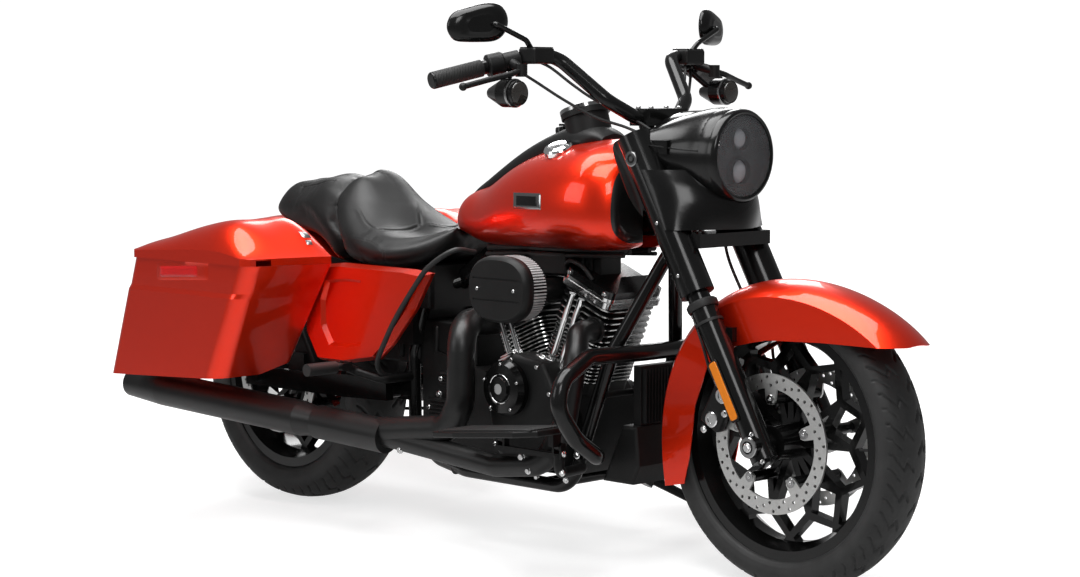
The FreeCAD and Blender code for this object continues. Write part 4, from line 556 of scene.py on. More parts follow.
def seen(tree, u, v):
    """Where the photograph's pixel (u, v) meets a surface, and the direction out of it there."""
    ray = (AHEAD + RIGHT * ((u - MIDDLE_U) / FOCAL) - UP * ((v - MIDDLE_V) / FOCAL)).normalized()
    hit, normal = tree.ray_cast(placed(CAMERA_AT), TURN @ ray)[:2]
    normal = (TURN.transposed() @ normal).normalized()
    return TO_UPRIGHT @ hit, -normal if normal.dot(ray) > 0 else normal


def patch(name, material, tree, corners, raised, columns, rows):
    """Thin covers on a surface inside four pixels, clockwise from the top left, and on its twin."""
    a, b, c, d = [Vector(corner) for corner in corners]
    grid = []
    for j in range(rows + 1):
        for k in range(columns + 1):
            s, t = k / columns, j / rows
            pixel = (a * (1 - s) + b * s) * (1 - t) + (d * (1 - s) + c * s) * t
            hit, normal = seen(tree, *pixel)
            sunk = j in (0, rows) or k in (0, columns)
            grid.append(hit + normal * (-0.6 if sunk else raised))
    for points, side in ((grid, "right"), (flipped(grid), "left")):
        form = Form()
        form.rows = points
        for j in range(rows):
            for k in range(columns):
                p = j * (columns + 1) + k
                form.faces.append((p, p + 1, p + columns + 2, p + columns + 1))
        form.piece("%s_%s" % (name, side), material, angle=50)


# Tyres with a sculpted tread, same outline as the moulded carcass
TREAD_GRID = 2.7
TREAD_PITCHES = 30
TREAD_DEPTH = 3.6
# the carcass from bead to crown, in shares of its half width and of its height
CARCASS = ((0.70, 0.145), (0.86, 0.20), (0.955, 0.34), (1, 0.5), (0.96, 0.655), (0.86, 0.765),
           (0.70, 0.868), (0.38, 0.965), (0.16, 0.993), (0, 1.0))
# on a tyre 130 wide: stations off the middle, and how far round the tyre the groove has run there
TREAD_WIDTH = 130
GROOVE_STATIONS = np.array([0, 7, 24, 32, 60, 80])
GROOVE_RUN = np.array([4, 4, 26, 8, 40, 46])
# half width, soft edge, first and last station of the long and of the short groove
LONG_GROOVE, SHORT_GROOVE = (3.1, 1.2, 7, 66), (1.9, 1.0, 40, 70)
RIM_RIB_AT = 22


def tyre(name, node, wheel, radius, width, rim_radius, body):
    half, height, scale = width / 2, radius - rim_radius, width / TREAD_WIDTH
    right = [xyz(half * out, rim_radius + height * up, 0) for out, up in CARCASS]
    left = [xyz(-p.x, p.y, 0) for p in reversed(right[:-1])]
    outline = smooth_path(right + left, 12)
    run = [0.0]
    for p, q in zip(outline, outline[1:]):
        run.append(run[-1] + (q - p).length)
    total = run[-1]
    columns = int(total / TREAD_GRID)
    across = np.linspace(0, total, columns)
    ys = np.interp(across, run, [p.x for p in outline])
    rs = np.minimum(np.interp(across, run, [p.y for p in outline]), radius)
    steps = int(2 * math.pi * radius / TREAD_GRID)
    turn = np.linspace(0, 2 * math.pi, steps, endpoint=False)
    ahead, side = np.meshgrid(turn * radius, across - total / 2, indexing="ij")
    spread, pitch = np.abs(side), 2 * math.pi * radius / TREAD_PITCHES

    def cut(gap, half_wide, fade, first, last):
        """From 0 to 1 inside a groove."""
        inside = (spread > first * scale) & (spread < last * scale)
        return np.clip((half_wide - gap) / fade, 0, 1) * inside

    stations = GROOVE_STATIONS * scale
    centre = np.interp(spread, stations, GROOVE_RUN) + np.where(side > 0, pitch / 2, 0)
    slant = np.interp(spread, stations[:-1], np.abs(np.diff(GROOVE_RUN) / np.diff(stations)))
    long_gap = np.abs((ahead - centre + pitch / 2) % pitch - pitch / 2) / np.sqrt(1 + slant ** 2)
    short_gap = np.abs((ahead - centre) % pitch - pitch / 2)
    depth = TREAD_DEPTH * np.maximum(cut(long_gap, *LONG_GROOVE), cut(short_gap, *SHORT_GROOVE) * 0.8)
    depth -= np.clip((1.0 - np.abs(spread - total / 2 + RIM_RIB_AT)) / 0.8, 0, 1) * 0.8

    slope_y, slope_r = np.gradient(ys), np.gradient(rs)
    size = np.hypot(slope_y, slope_r)
    y = ys - slope_r / size * depth
    r = np.minimum(rs + slope_y / size * depth, radius)
    c, s = np.cos(turn)[:, None], np.sin(turn)[:, None]
    points = np.stack([wheel.x + r * c, y, wheel.z + r * s, np.ones_like(y)], -1)
    rows = points.reshape(-1, 4) @ np.array(UPRIGHT).T
    index = np.arange(steps * columns).reshape(steps, columns)
    after = np.roll(index, -1, axis=0)
    quads = np.stack([index[:, :-1], index[:, 1:], after[:, 1:], after[:, :-1]], -1).reshape(-1, 4)
    mesh = bpy.data.meshes.new(name)
    mesh.from_pydata(rows[:, :3].tolist(), [], quads.tolist())
    mesh.polygons.foreach_set("use_smooth", [True] * len(mesh.polygons))
    mesh.materials.append(RUBBER)
    mesh.update()
    thing = new_thing(name, mesh)
    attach(thing, body)
    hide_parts(node)


tyre("front_tyre_treaded", "front_tyre", FRONT_WHEEL, FRONT_RADIUS, 130, 241.3, "front_wheel")
tyre("rear_tyre_treaded", "rear_tyre", REAR_WHEEL, REAR_RADIUS, 180, 228.6, "rear_wheel")


# Seats: the solid's own form, swollen by cloth, with sewn seams
VOXEL, SHRINK, SWELL_CAP = 0.005, 0.003, 0.006
SWELL_STEPS = 20


def settle(thing):
    """Apply what the modifiers do to the mesh itself."""
    graph = bpy.context.evaluated_depsgraph_get()
    result = bpy.data.meshes.new_from_object(thing.evaluated_get(graph))
    old = thing.data
    thing.modifiers.clear()
    thing.data = result
    bpy.data.meshes.remove(old)


def modified(thing, kind, **settings):
    """Run one modifier on the mesh."""
    modifier = thing.modifiers.new(kind, kind)
    for key, value in settings.items():
        setattr(modifier, key, value)
    settle(thing)


def swollen(pad):
    """Let the pad swell as cloth under pressure, no further than the cap."""
    scene = bpy.context.scene
    start = [vertex.co.copy() for vertex in pad.data.vertices]
    cloth = pad.modifiers.new("swell", "CLOTH").settings
    cloth.use_pressure = True
    cloth.uniform_pressure_force = 4
    cloth.effector_weights.gravity = 0
    cloth.quality = 5
    for step in range(1, SWELL_STEPS + 1):
        scene.frame_set(step)
    settle(pad)
    scene.frame_set(1)
    for vertex, origin in zip(pad.data.vertices, start):
        move = vertex.co - origin
        if move.length > SWELL_CAP:
            vertex.co = origin + move * (SWELL_CAP / move.length)
    modified(pad, "SMOOTH", iterations=8)


def soft_copy(name, node):
    """A rounded, swollen copy of a solid."""
    pad = new_thing(name, nodes[node].data.copy())
    bpy.context.view_layer.objects.active = pad
    pad.select_set(True)
    modified(pad, "REMESH", mode="VOXEL", voxel_size=VOXEL)
    pad.data.update()
    away = [vertex.normal.copy() for vertex in pad.data.vertices]
    for vertex, normal in zip(pad.data.vertices, away):
        vertex.co -= normal * SHRINK
    for turn in range(3):
        modified(pad, "SMOOTH", iterations=3)
    swollen(pad)
    modified(pad, "SUBSURF", levels=1)
    pad.data.polygons.foreach_set("use_smooth", [True] * len(pad.data.polygons))
    return pad


def share_of(value, start, end):
    """How far a value has come from start to end, from 0 to 1."""
    return min(1.0, max(0.0, (value - start) / (end - start)))


def bell(value, middle, width):
    return math.exp(-((value - middle) / width) ** 2)


def pushed_back(pad, start, end, far):
    """Slide a pad's top rearwards between two stations, so the two pads meet further back."""
    for vertex in pad.data.vertices:
        point = TO_UPRIGHT @ vertex.co
        share = share_of(point.x, start, end)
        point.x -= far * share ** 2 * (3 - 2 * share) * share_of(point.z, 690, 780)
        vertex.co = placed(point)


def reshaped(pad, middle_x, reach, rise, shoulder, half_width):
    """Raise or lower a pad's top in a band across it, more at its shoulders, in millimetres."""
    for vertex in pad.data.vertices:
        point = TO_UPRIGHT @ vertex.co
        off = abs(point.y)
        lift = (rise + shoulder * bell(off, 62, 45)) * bell(point.x, middle_x, reach)
        point.z += lift / (1 + (off / half_width) ** 10) * share_of(point.z, 700, 760)
        vertex.co = placed(point)


def sewn(pad, lines):
    """Press seams into the pad along lines of points on its surface, in upright millimetres."""
    depth, wide, swell_at, reach = 2.4, 3.6, 7, 14
    marks = [placed(p) for line in lines for p in smooth_path(line, 10)]
    fine = []
    for p, q in zip(marks, marks[1:]):
        gap = (q - p).length
        if gap < 0.03:
            count = max(1, int(gap / 0.002))
            fine += [p.lerp(q, k / count) for k in range(count)]
    near = KDTree(len(fine))
    for k, p in enumerate(fine):
        near.insert(p, k)
    near.balance()
    pad.data.update()
    normals = [vertex.normal.copy() for vertex in pad.data.vertices]
    for vertex, normal in zip(pad.data.vertices, normals):
        gap = near.find(vertex.co)[2] * 1000
        if gap < reach:
            press = depth * bell(gap, 0, wide) - 0.5 * bell(gap, swell_at, 3.5)
            vertex.co -= normal * (press / 1000)


def stitches(name, pad, lines):
    """Thread beside each seam, laid on the pad."""
    aside, pitch, length = 4.2, 7.0, 4.2
    tree = BVHTree.FromPolygons([vertex.co.copy() for vertex in pad.data.vertices],
                                [list(polygon.vertices) for polygon in pad.data.polygons])
    form = Form()
    for line in lines:
        path = smooth_path(line, 12)
        walked, due = 0.0, pitch
        for p, q in zip(path, path[1:]):
            walked += (q - p).length
            if walked < due:
                continue
            due += pitch
            along = (q - p).normalized()
            normal = (TURN.transposed() @ tree.find_nearest(placed(q))[1]).normalized()
            out = along.cross(normal).normalized() * aside
            for foot in (q - out, q + out):
                centre = TO_UPRIGHT @ tree.find_nearest(placed(foot))[0] + normal * 0.1
                form.tube([centre - along * length / 2, centre + along * length / 2], 0.6, 5, 1)
    form.piece(name, THREAD)


rider = soft_copy("rider_seat_pad", "seat_rider")
pushed_back(rider, 450, 300, 38)
reshaped(rider, 286, 60, 12, 16, 146)
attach(rider, "chassis")
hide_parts("seat_rider")
pillion = soft_copy("pillion_pad", "seat_pillion")
pushed_back(pillion, -20, 280, 38)
reshaped(pillion, 250, 60, -10, 0, 150)
reshaped(pillion, 34, 46, 12, 6, 130)
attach(pillion, "chassis")
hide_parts("seat_pillion")

# seams in photograph pixels, upper left to lower right
BOLSTER_SEAM = [(358, 208), (366, 222), (376, 229), (390, 231), (405, 231), (418, 227)]
PANEL_SEAM = [(419, 199), (420, 212), (421, 225)]
HIP_SEAM = [(349, 236), (362, 238), (374, 243), (381, 252), (384, 262)]
PILLION_SEAM = [(300, 190), (320, 184), (335, 180)]


def seam(tree, pixels):
    return [seen(tree, u, v)[0] for u, v in pixels]


rider_tree = tree_of("seat_rider")
bolster, panel, hip = [seam(rider_tree, line) for line in (BOLSTER_SEAM, PANEL_SEAM, HIP_SEAM)]
sewn(rider, [bolster, flipped(bolster), panel, hip, flipped(hip)])
stitches("rider_seat_stitches", rider, [bolster, flipped(bolster), hip, flipped(hip)])
edge = seam(tree_of("seat_pillion"), PILLION_SEAM)
sewn(pillion, [edge, flipped(edge)])
stitches("pillion_stitches", pillion, [edge, flipped(edge)])


# Headlamp: bowl, bezel, two stacked projectors and a domed clear lens
# height off the lamp's middle, and the radius of the housing and of the eye in it
PROJECTORS = ((37, 26, 22.5), (-34, 29, 25))
SIDE_EYE_Y, SIDE_EYE_Z = 58, 4


def headlamp():
    turned("lamp_bowl", REFLECTOR, [(0, 92), (2, 92), (2, 84), (10, 83), (14, 60), (12, 20),
                                    (12, 0.5)], LAMP, FORWARD, 64, "steering")
    rim = turned("lamp_bezel", GLOSS, [(18, 93), (19, 101), (33, 101), (38, 98), (40, 94), (38, 90),
                                       (30, 89), (20, 89)], LAMP, FORWARD, 72, "steering")
    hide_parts("headlamp")
    turned("lamp_lens", PANE,
           [(34, 90), (38, 87), (43, 68), (46.5, 40), (48, 14), (48.2, 0.4), (45.6, 0.4), (45.2, 14),
            (43.6, 40), (40, 66), (35, 84), (34, 90)], LAMP, FORWARD, 72, "steering", caps=False)
    shell, bright, eyes = Form(), Form(), Form()
    for z, housing, eye in PROJECTORS:
        centre = LAMP + xyz(0, 0, z)
        shell.lathe([(8, housing + 7), (24, housing + 5), (30, housing + 3), (31, housing),
                     (20, housing - 3), (14, housing - 4)], centre, FORWARD, 48)
        eyes.lathe([(12, eye), (20, eye), (26, eye * 0.8), (30, eye * 0.45), (31.5, 0.4)], centre,
                   FORWARD, 40)
    for side in SIDES:
        centre = LAMP + xyz(0, side * SIDE_EYE_Y, SIDE_EYE_Z)
        shell.lathe([(10, 15), (20, 15), (22, 12), (16, 10)], centre, FORWARD, 32)
        shell.block(LAMP + xyz(10, side * 34, -11), LAMP + xyz(18, side * 76, -7))
        bright.lathe([(11, 9.6), (16.4, 9.6), (17, 2), (17, 0.4)], centre, FORWARD, 32)
    for y in range(-44, 45, 11):
        bright.block(LAMP + xyz(10, y - 4, 70), LAMP + xyz(14, y + 4, 76))
    shell.piece("lamp_housings", GLOSS, "steering")
    bright.piece("lamp_reflectors", CHROME, "steering")
    eyes.piece("lamp_projector_eyes", EYE, "steering")


headlamp()


# Fork and lamp bucket
def fork_point(z, y, out=0.0):
    """A point on the leg's line at a height."""
    return xyz(WHEELBASE - (z - FRONT_RADIUS) * math.tan(RAKE) + out, y, z)


def cowl():
    """The bucket's shoulders, which widen rearwards to meet both fork covers."""
    sides = 48
    rings = []
    for x, half, tall, z in ((1455, 102.5, 102.5, 922), (1430, 104.5, 104.5, 922),
                             (1395, 106, 101, 923), (1350, 113, 88, 927), (1305, 124, 63, 937),
                             (1268, 134, 36, 947), (1256, 134, 22, 950)):
        turns = [2 * math.pi * k / sides for k in range(sides)]
        rings.append([xyz(x, half * math.sin(t), z + tall * math.cos(t)) for t in turns])
    lines = [smooth_path(line, 5) for line in zip(*rings)]
    Form().ring_faces(list(zip(*lines)), caps=False).piece("nacelle_cowl", GLOSS, "steering")
    crease = Form().tubes([(1436, 104.8, 934), (1400, 107, 936), (1356, 114.5, 940),
                           (1316, 127, 944)], 1.6, 8)
    crease.piece("nacelle_crease", GLOSS, "steering")


def fork_dressing():
    """Axle nuts, cover caps, dust seals and socket bolts."""
    bolts, caps, seals, rings = Form(), Form(), Form(), Form()
    for side in SIDES:
        outward = (0, side, 0)
        top = fork_point(915, side * (FORK_Y + 36.5))
        rings.lathe([(-2, 17), (2.2, 17), (3, 15), (3, 12.5)], top, outward, 36)
        caps.lathe([(-1, 11.5), (2.4, 11.5), (3.2, 10), (3.2, 5.6), (1.6, 5), (1.6, 0.4)], top,
                   outward, 32)
        for z in (668, 778):
            bolts.bolt(fork_point(z, side * (FORK_Y + 37.5)), outward, 4)
        for z, profile in ((596, [(0, 27), (0, 33.5), (5, 35), (14, 35), (18, 31), (18, 27)]),
                           (566, [(0, 29.3), (0, 31.5), (6, 31.5), (6, 29.3)])):
            seals.lathe(profile, fork_point(z, side * FORK_Y), LEG, 44)
        axle = xyz(WHEELBASE, side * 150, FRONT_RADIUS)
        rings.lathe([(-2, 22.5), (4, 22.5), (5.5, 20.5), (5.5, 14), (2, 13)], axle, outward, 40)
        bolts.hex_head(axle + xyz(0, side * 4.5, 0), outward, 8.5)
        for z in (292, 346):
            bolts.bolt(fork_point(z, side * (FORK_Y + 30), 18), (0.9, side * 0.5, 0.3), 5)
    bolts.piece("fork_bolts", FASTENER, "steering")
    caps.piece("fork_cover_bolts", GLOSS, "steering")
    rings.piece("fork_washers", DARK_CHROME, "steering")
    seals.piece("fork_seals", SOFT_RUBBER, "steering")


def leg_reflector(side):
    """A long amber strip on a black plate beside the slider."""
    ahead = xyz(LEG.z, 0, -LEG.x)
    for name, grow, rise, material in (("plate", 4, 0.0, SATIN), ("strip", 0, 2.4, AMBER)):
        centre = fork_point(431, side * (FORK_Y + 30.5 + rise), -8)
        corners = []
        for along, across in ((-66, -7), (-62, -10), (62, -10), (66, -7), (66, 7), (62, 10),
                              (-62, 10), (-66, 7)):
            corners.append(centre + LEG * (along + math.copysign(grow, along))
                           + ahead * (across + math.copysign(grow * 0.5, across)))
        form = Form().slab(corners, 3.0, (0, side, 0))
        form.piece("fork_reflector_%s_%s" % (name, SIDES[side]), material, "steering", bevel=0.8)


def caliper_dressing():
    caps, bolts = Form(), Form()
    for side in SIDES:
        for turn in (140, 164):
            caps.lathe([(-1, 17), (2.5, 17), (4, 15), (4, 9), (2.2, 8), (2.2, 0.4)],
                       around(FRONT_WHEEL, 147, turn, side * 106), (0, side, 0), 40)
        for turn, radius in ((130, 165), (174, 165), (152, 120)):
            bolts.hex_head(around(FRONT_WHEEL, radius, turn, side * 106), (0, side, 0), 6)
    caps.piece("caliper_caps", CHROME, "steering")
    bolts.piece("caliper_bolts", FASTENER, "steering")


def hoses():
    hose = Form().tubes([(1500, 104, 432), (1478, 108, 470), (1462, 112, 520), (1420, 96, 580),
                         (1392, 84, 640), (1378, 70, 690), (1372, 62, 732)], 3.6)
    crimps = Form().tubes([(1500, 104, 432), (1492, 105, 446)], 5.4, 12, 1)
    crimps.tubes([(1424, 97, 573), (1415, 94, 590)], 5.4, 12, 1)
    hose.piece("brake_hoses", SOFT_RUBBER, "steering")
    crimps.piece("brake_hose_crimps", DARK_CHROME, "steering")


cowl()
fork_dressing()
for side in SIDES:
    leg_reflector(side)
caliper_dressing()
hoses()


# Wheels: rotor bolts and a valve
def rotor_bolts(name, wheel, faces):
    bolts, caps = Form(), Form()
    for side, face in faces.items():
        for k in range(5):
            centre = around(wheel, 95, 90 + 72 * k, side * face)
            caps.lathe([(-1, 10.5), (1.6, 10.5), (2.4, 9.5), (2.4, 6)], centre, (0, side, 0), 28)
            bolts.bolt(centre + xyz(0, side * 0.4, 0), (0, side, 0), 3.6)
    bolts.piece(name + "_rotor_bolts", FASTENER, name + "_wheel")
    caps.piece(name + "_rotor_washers", DARK_CHROME, name + "_wheel")


rotor_bolts("front", FRONT_WHEEL, {-1: DISC_FACE_Y, 1: DISC_FACE_Y})
rotor_bolts("rear", REAR_WHEEL, {-1: 101, 1: 128})
valve = Form().tube([FRONT_WHEEL + Vector(p) for p in ((208, 0, 0), (196, -6, 0), (184, -14, 0))],
                    3.2, 10, 4)
valve.piece("front_valve", SOFT_RUBBER, "front_wheel")


# Engine
ROCKER_SCREW = 372
PLEATS, CLEANER_HALF_X, CLEANER_HALF_Z = 72, 85.5, 67.5
CLEANER_POWER = 2 / 2.2
LIFTER_X, LIFTER_Z, LIFTER_APART = 942, 436, 58


def pleats():
    """The filter's folds, round a squarish oval."""
    form = Form()
    for k in range(PLEATS):
        angle = 2 * math.pi * k / PLEATS
        c, s = math.cos(angle), math.sin(angle)
        out = xyz(c / 86, 0, s / 68).normalized()
        along = xyz(-out.z, 0, out.x) * 1.7
        foot = CLEANER + xyz(math.copysign(abs(c) ** CLEANER_POWER, c) * CLEANER_HALF_X, 0,
                             math.copysign(abs(s) ** CLEANER_POWER, s) * CLEANER_HALF_Z)
        tip = foot + out * 6.5
        base = [foot - along, foot + along, tip + along * 0.8, tip - along * 0.8]
        form.ring_faces([[(p.x, y, p.z) for p in base] for y in (-219, -258)])
    form.piece("filter_pleats", GAUZE, smooth=False)


def cam_rings():
    rings = Form()
    for start in (20, 200):
        rings.tube([around(CAM, 33, start + k, 6.2) for k in range(0, 141, 5)], 1.7, 8, 1)
    rings.lathe([(-0.5, 12), (0.9, 12), (0.9, 9)], CAM, RIGHTWARD, 36)
    rings.piece("cam_cover_rings", CHROME)


def engine_screws():
    """The cleaner's, the cam cover's, the timing case's, the rocker covers' and the gearbox's."""
    spots = [(CLEANER + xyz(x, -288, 0), 4.2) for x in (-58, 58)]
    spots += [(around(CAM, 56, 18 + 72 * k, 8), 3.6) for k in range(5)]
    spots += [((x, -170, z), 5) for x, z in ((882, 250), (868, 330), (880, 418), (936, 448), (1018, 438),
                                             (1058, 380), (1068, 296), (1036, 222), (960, 192))]
    for way in (-1, 1):
        up, level = xyz(way * VEE_SIN, 0, VEE_COS), xyz(VEE_COS, 0, -way * VEE_SIN)
        for off in (-58, 58):
            spots.append((CRANK + up * ROCKER_SCREW + level * off + xyz(0, -89.5, 0), 6))
    form = Form()
    for spot, radius in spots:
        form.bolt(spot, RIGHTWARD, radius)
    for x, z in ((600, 330), (590, 268), (700, 380)):
        form.hex_head((x, -86, z), RIGHTWARD, 7)
    form.piece("engine_screws", FASTENER)


def gearbox_ribs():
    """Two ribbed covers on the gearbox, behind the rear pipe."""
    form, screws = Form(), Form()
    for x, z, half_x, half_z in ((668, 372, 46, 17), (632, 300, 54, 22)):
        form.block((x - half_x, -104, z - half_z), (x + half_x, -85, z + half_z))
        for k in range(-2, 3):
            rib = z + k * half_z * 0.42
            form.block((x - half_x + 5, -109, rib - 2), (x + half_x - 5, -103, rib + 2))
        for way in (-1, 1):
            screws.bolt((x + way * (half_x - 7), -104, z), RIGHTWARD, 6)
    form.piece("gearbox_ribs", SATIN, bevel=3)
    screws.piece("gearbox_screws", FASTENER)


def bracket_bolts():
    """Heads on the brackets under the board, where the photograph shows them."""
    low_frame = tree_of("board_brackets", "exhaust_headers", "frame", "engine_guard", "chin_cover",
                        "crankcase", "mufflers")
    heads = Form()
    for u, v, radius in ((522, 457, 8), (528, 471, 6), (537, 477, 6), (563, 454, 6), (577, 455, 7),
                         (562, 473, 6), (566, 480, 6), (400, 450, 7)):
        heads.hex_head(seen(low_frame, u, v)[0], RIGHTWARD, radius)
    heads.piece("bracket_bolts", FASTENER)


def lifter_blocks():
    """Bright castings that the pushrod tubes stand in, and their screws."""
    form, screws = Form(), Form()
    for way in (-1, 1):
        def at(across, up, y):
            s = way * VEE_SIN
            return xyz(LIFTER_X + way * LIFTER_APART + across * VEE_COS + up * s, y,
                       LIFTER_Z - across * s + up * VEE_COS)
        for low, high, half, thick in ((-16, 8, 33, 38), (8, 15, 29, 35), (15, 21, 24, 31)):
            form.slab([at(a, b, -98) for a, b in ((-half, low), (half, low), (half, high),
                                                  (-half, high))], thick, RIGHTWARD)
        for across in (-24, 24):
            screws.bolt(at(across, -4, -136), RIGHTWARD, 4)
    form.piece("lifter_blocks", CHROME, bevel=2)
    screws.piece("lifter_screws", FASTENER)


def under_tank():
    """Coil, breather box and wiring between the tank and the rocker covers."""
    box = Form()
    box.block((786, -36, 634), (1086, 36, 698))
    box.block((884, -70, 640), (1010, 70, 692))
    for x in (806, 832, 858, 1028, 1054):
        box.block((x, -42, 640), (x + 12, 42, 692))
    box.piece("coil_box", SATIN, bevel=4)
    loom = Form()
    for y, z, radius in ((58, 699, 9), (40, 692, 6), (66, 684, 5)):
        loom.tubes([(746, y, z - 8), (850, y * 1.04, z - 1), (960, y, z), (1070, y * 0.94, z + 3),
                    (1176, y * 0.8, z + 8)], radius)
    loom.tube([(1004, -64, 664), (1040, -84, 676), (1082, -88, 664), (1104, -80, 636)], 5)
    loom.tube([(900, -66, 668), (868, -88, 678), (832, -90, 664), (812, -82, 640)], 5)
    loom.piece("tank_loom", SOFT_RUBBER)


def inner_box():
    """The black box between the gearbox and the rear wheel, and the hangers over the pipes."""
    box = Form()
    box.block((356, -78, 396), (724, 78, 506))
    for x in range(390, 700, 62):
        box.block((x, -84, 408), (x + 14, 84, 494))
    box.piece("inner_box", SATIN, bevel=5)
    tubes = Form().tubes([(772, 130, 684), (764, 190, 690), (712, 222, 650), (662, 228, 594),
                          (606, 229, 526), (562, 228, 462), (528, 220, 412), (508, 186, 380),
                          (500, 130, 366)], 6.5)
    tubes.piece("side_conduits", SOFT_RUBBER)


pleats()
cam_rings()
engine_screws()
gearbox_ribs()
bracket_bolts()
lifter_blocks()
under_tank()
inner_box()


# Bodywork: reflectors, latches and badge plates laid on by the photograph
bag, tank = tree_of("saddlebag_right", "bag_lid_right"), tree_of("fuel_tank")
patch("bag_reflector_frame", ORANGE, bag, [(156, 262), (209, 261), (209, 281), (156, 281)], 1.4, 16, 6)
patch("bag_reflector", RED, bag, [(159, 265), (199, 264), (199, 278), (159, 278)], 3.0, 16, 6)
patch("bag_latch", LATCH, bag, [(298, 231), (306, 232), (312, 238), (303, 238)], 3.4, 6, 4)
patch("bag_latch_key", LATCH, bag, [(305, 240), (311, 240), (313, 245), (307, 245)], 3.4, 6, 4)
patch("tank_badge_plate", DARK_CHROME, tank, [(513, 192), (541, 193), (541, 210), (513, 209)],
      1.6, 24, 12)
patch("tank_badge_field", GLOSS, tank, [(516, 195), (538, 196), (538, 207), (516, 206)], 2.4, 24, 12)


# Console: dial, needle, glass and the ignition knob
DIAL_AXIS = xyz(-0.3, 0, 0.954).normalized()
DIAL = xyz(1020, 0, 958) + DIAL_AXIS * 60
DIAL_MARKS, DIAL_START, DIAL_STEP = 41, -225, 6.75
NEEDLE_AT = -200


def dial_bar(form, degrees, height, inner, outer, inner_half, outer_half, thick):
    """A bar on the dial that points away from its middle."""
    u, v = square_to(DIAL_AXIS)
    angle = math.radians(degrees)
    out = u * math.cos(angle) + v * math.sin(angle)
    side = DIAL_AXIS.cross(out)
    base = DIAL + DIAL_AXIS * height
    form.slab([base + out * inner - side * inner_half, base + out * outer - side * outer_half,
               base + out * outer + side * outer_half, base + out * inner + side * inner_half],
              thick, DIAL_AXIS)


def instrument():
    turned("dial_face", SATIN, [(0.2, 51.2), (0.8, 51.2), (0.8, 0.4)], DIAL, DIAL_AXIS, 56)
    marks = Form()
    for k in range(DIAL_MARKS):
        inner, half = (42, 0.7) if k % 5 else (37, 1.1)
        dial_bar(marks, DIAL_START + k * DIAL_STEP, 0.9, inner, 47, half, half, 0.4)
    marks.piece("dial_marks", PRINT, smooth=False)
    needle = Form()
    dial_bar(needle, NEEDLE_AT, 2.2, -8, 40, 1.4, 0.42, 0.8)
    needle.lathe([(0, 5), (3, 5), (4, 3), (4, 0.4)], DIAL + DIAL_AXIS * 0.8, DIAL_AXIS, 24)
    needle.piece("dial_needle", RED)
    turned("dial_bezel", DARK_CHROME, [(-1, 52), (-1, 57.4), (7, 57.4), (9, 55), (9.6, 52.6),
                                       (7, 51)], DIAL, DIAL_AXIS, 64)
    turned("dial_glass", CLEAR, [(6.6, 51.4), (7.4, 51.4), (7.6, 30), (7.6, 0.4), (6.8, 0.4),
                                 (6.6, 30)], DIAL, DIAL_AXIS, 48, caps=False)
    knob = Form().lathe([(-2, 17), (6, 17), (12, 15.5), (14, 12), (14, 0.4)], (932, 0, 964),
                        (-0.2, 0, 0.98), 40)
    knob.block((922, -3.6, 975), (944, 3.6, 984))
    knob.piece("ignition_knob", GLOSS, bevel=0.6)


instrument()


# Controls, signals, mirrors and cables on the bar
MIRROR_TURN = math.radians(22)
MIRROR_OUTLINE = ((70, -22), (74, 2), (64, 20), (30, 35), (-18, 46), (-48, 42), (-65, 20), (-64, -10),
                  (-46, -32), (-10, -39), (36, -39), (60, -34))
CABLES = (((1088, 246, 1128), (1112, 222, 1112), (1142, 186, 1076), (1172, 150, 1044),
           (1204, 104, 1018), (1232, 76, 996), (1262, 60, 976)),
          ((1070, 288, 1108), (1096, 258, 1084), (1136, 206, 1042), (1180, 152, 1004),
           (1226, 104, 982), (1270, 84, 962)))


def bar_dressing():
    glass, lenses, bezels = Form(), Form(), Form()
    screws, caps, riser, cables = Form(), Form(), Form(), Form()
    for side in SIDES:
        outboard = xyz(-math.sin(MIRROR_TURN), side * math.cos(MIRROR_TURN), 0)
        facing = xyz(-math.cos(MIRROR_TURN), -side * math.sin(MIRROR_TURN), 0)
        loop = [xyz(1052, side * 380, 1206) + outboard * (a * 0.9) + xyz(0, 0, c * 0.9)
                for a, c in MIRROR_OUTLINE + MIRROR_OUTLINE[:1]]
        glass.slab([p + facing * 7.4 for p in smooth_path(loop, 4)[:-1]], 1.2, facing)

        spot = (1143, side * 349, 1057)
        lenses.lathe([(-13, 26.4), (-2, 26), (2, 23), (4.5, 12), (5, 0.4)], spot, FORWARD, 44)
        bezels.lathe([(-16, 30), (-16, 31.6), (-12, 31.6), (-11, 30), (-12, 27)], spot, FORWARD, 44)

        caps.block((1073, side * 221, 1155.4), (1119, side * 279, 1157.4))
        end = xyz(996, side * 462, 1085)
        caps.lathe([(3.4, 18.6), (6, 18.6), (9, 16), (9, 0.4)], end,
                   end - xyz(1030, side * 350, 1112), 32)
        for x in (1212, 1250):
            riser.bolt((x, side * 46, 1022), UPWARD, 5.5)
    for x in (1078, 1114):
        for y in (226, 274):
            screws.bolt((x, y, 1156), UPWARD, 2.6)
    for route in CABLES:
        cables.tubes(route, 3.4)
    glass.piece("mirror_glasses", MIRROR, "steering")
    lenses.piece("signal_lenses", SMOKE, "steering")
    bezels.piece("signal_bezels", DARK_CHROME, "steering")
    screws.piece("reservoir_screws", FASTENER, "steering")
    caps.piece("reservoir_lids", GLOSS, "steering", bevel=0.8)
    riser.piece("riser_bolts", FASTENER, "steering")
    cables.piece("bar_cables", SOFT_RUBBER, "steering")


bar_dressing()


# Rear lamp, signals and footboard mats
FENDER_CENTRE = xyz(-40, 0, 310)
TAIL_REACH, TAIL_TURN = 477, 150
BOARD_MIDDLE = xyz(1090, 0, 321)
BOARD_SLOPE = math.radians(6.0)
MAT_RIBS, MAT_PITCH, MAT_INNER_Y = 11, 10, 276


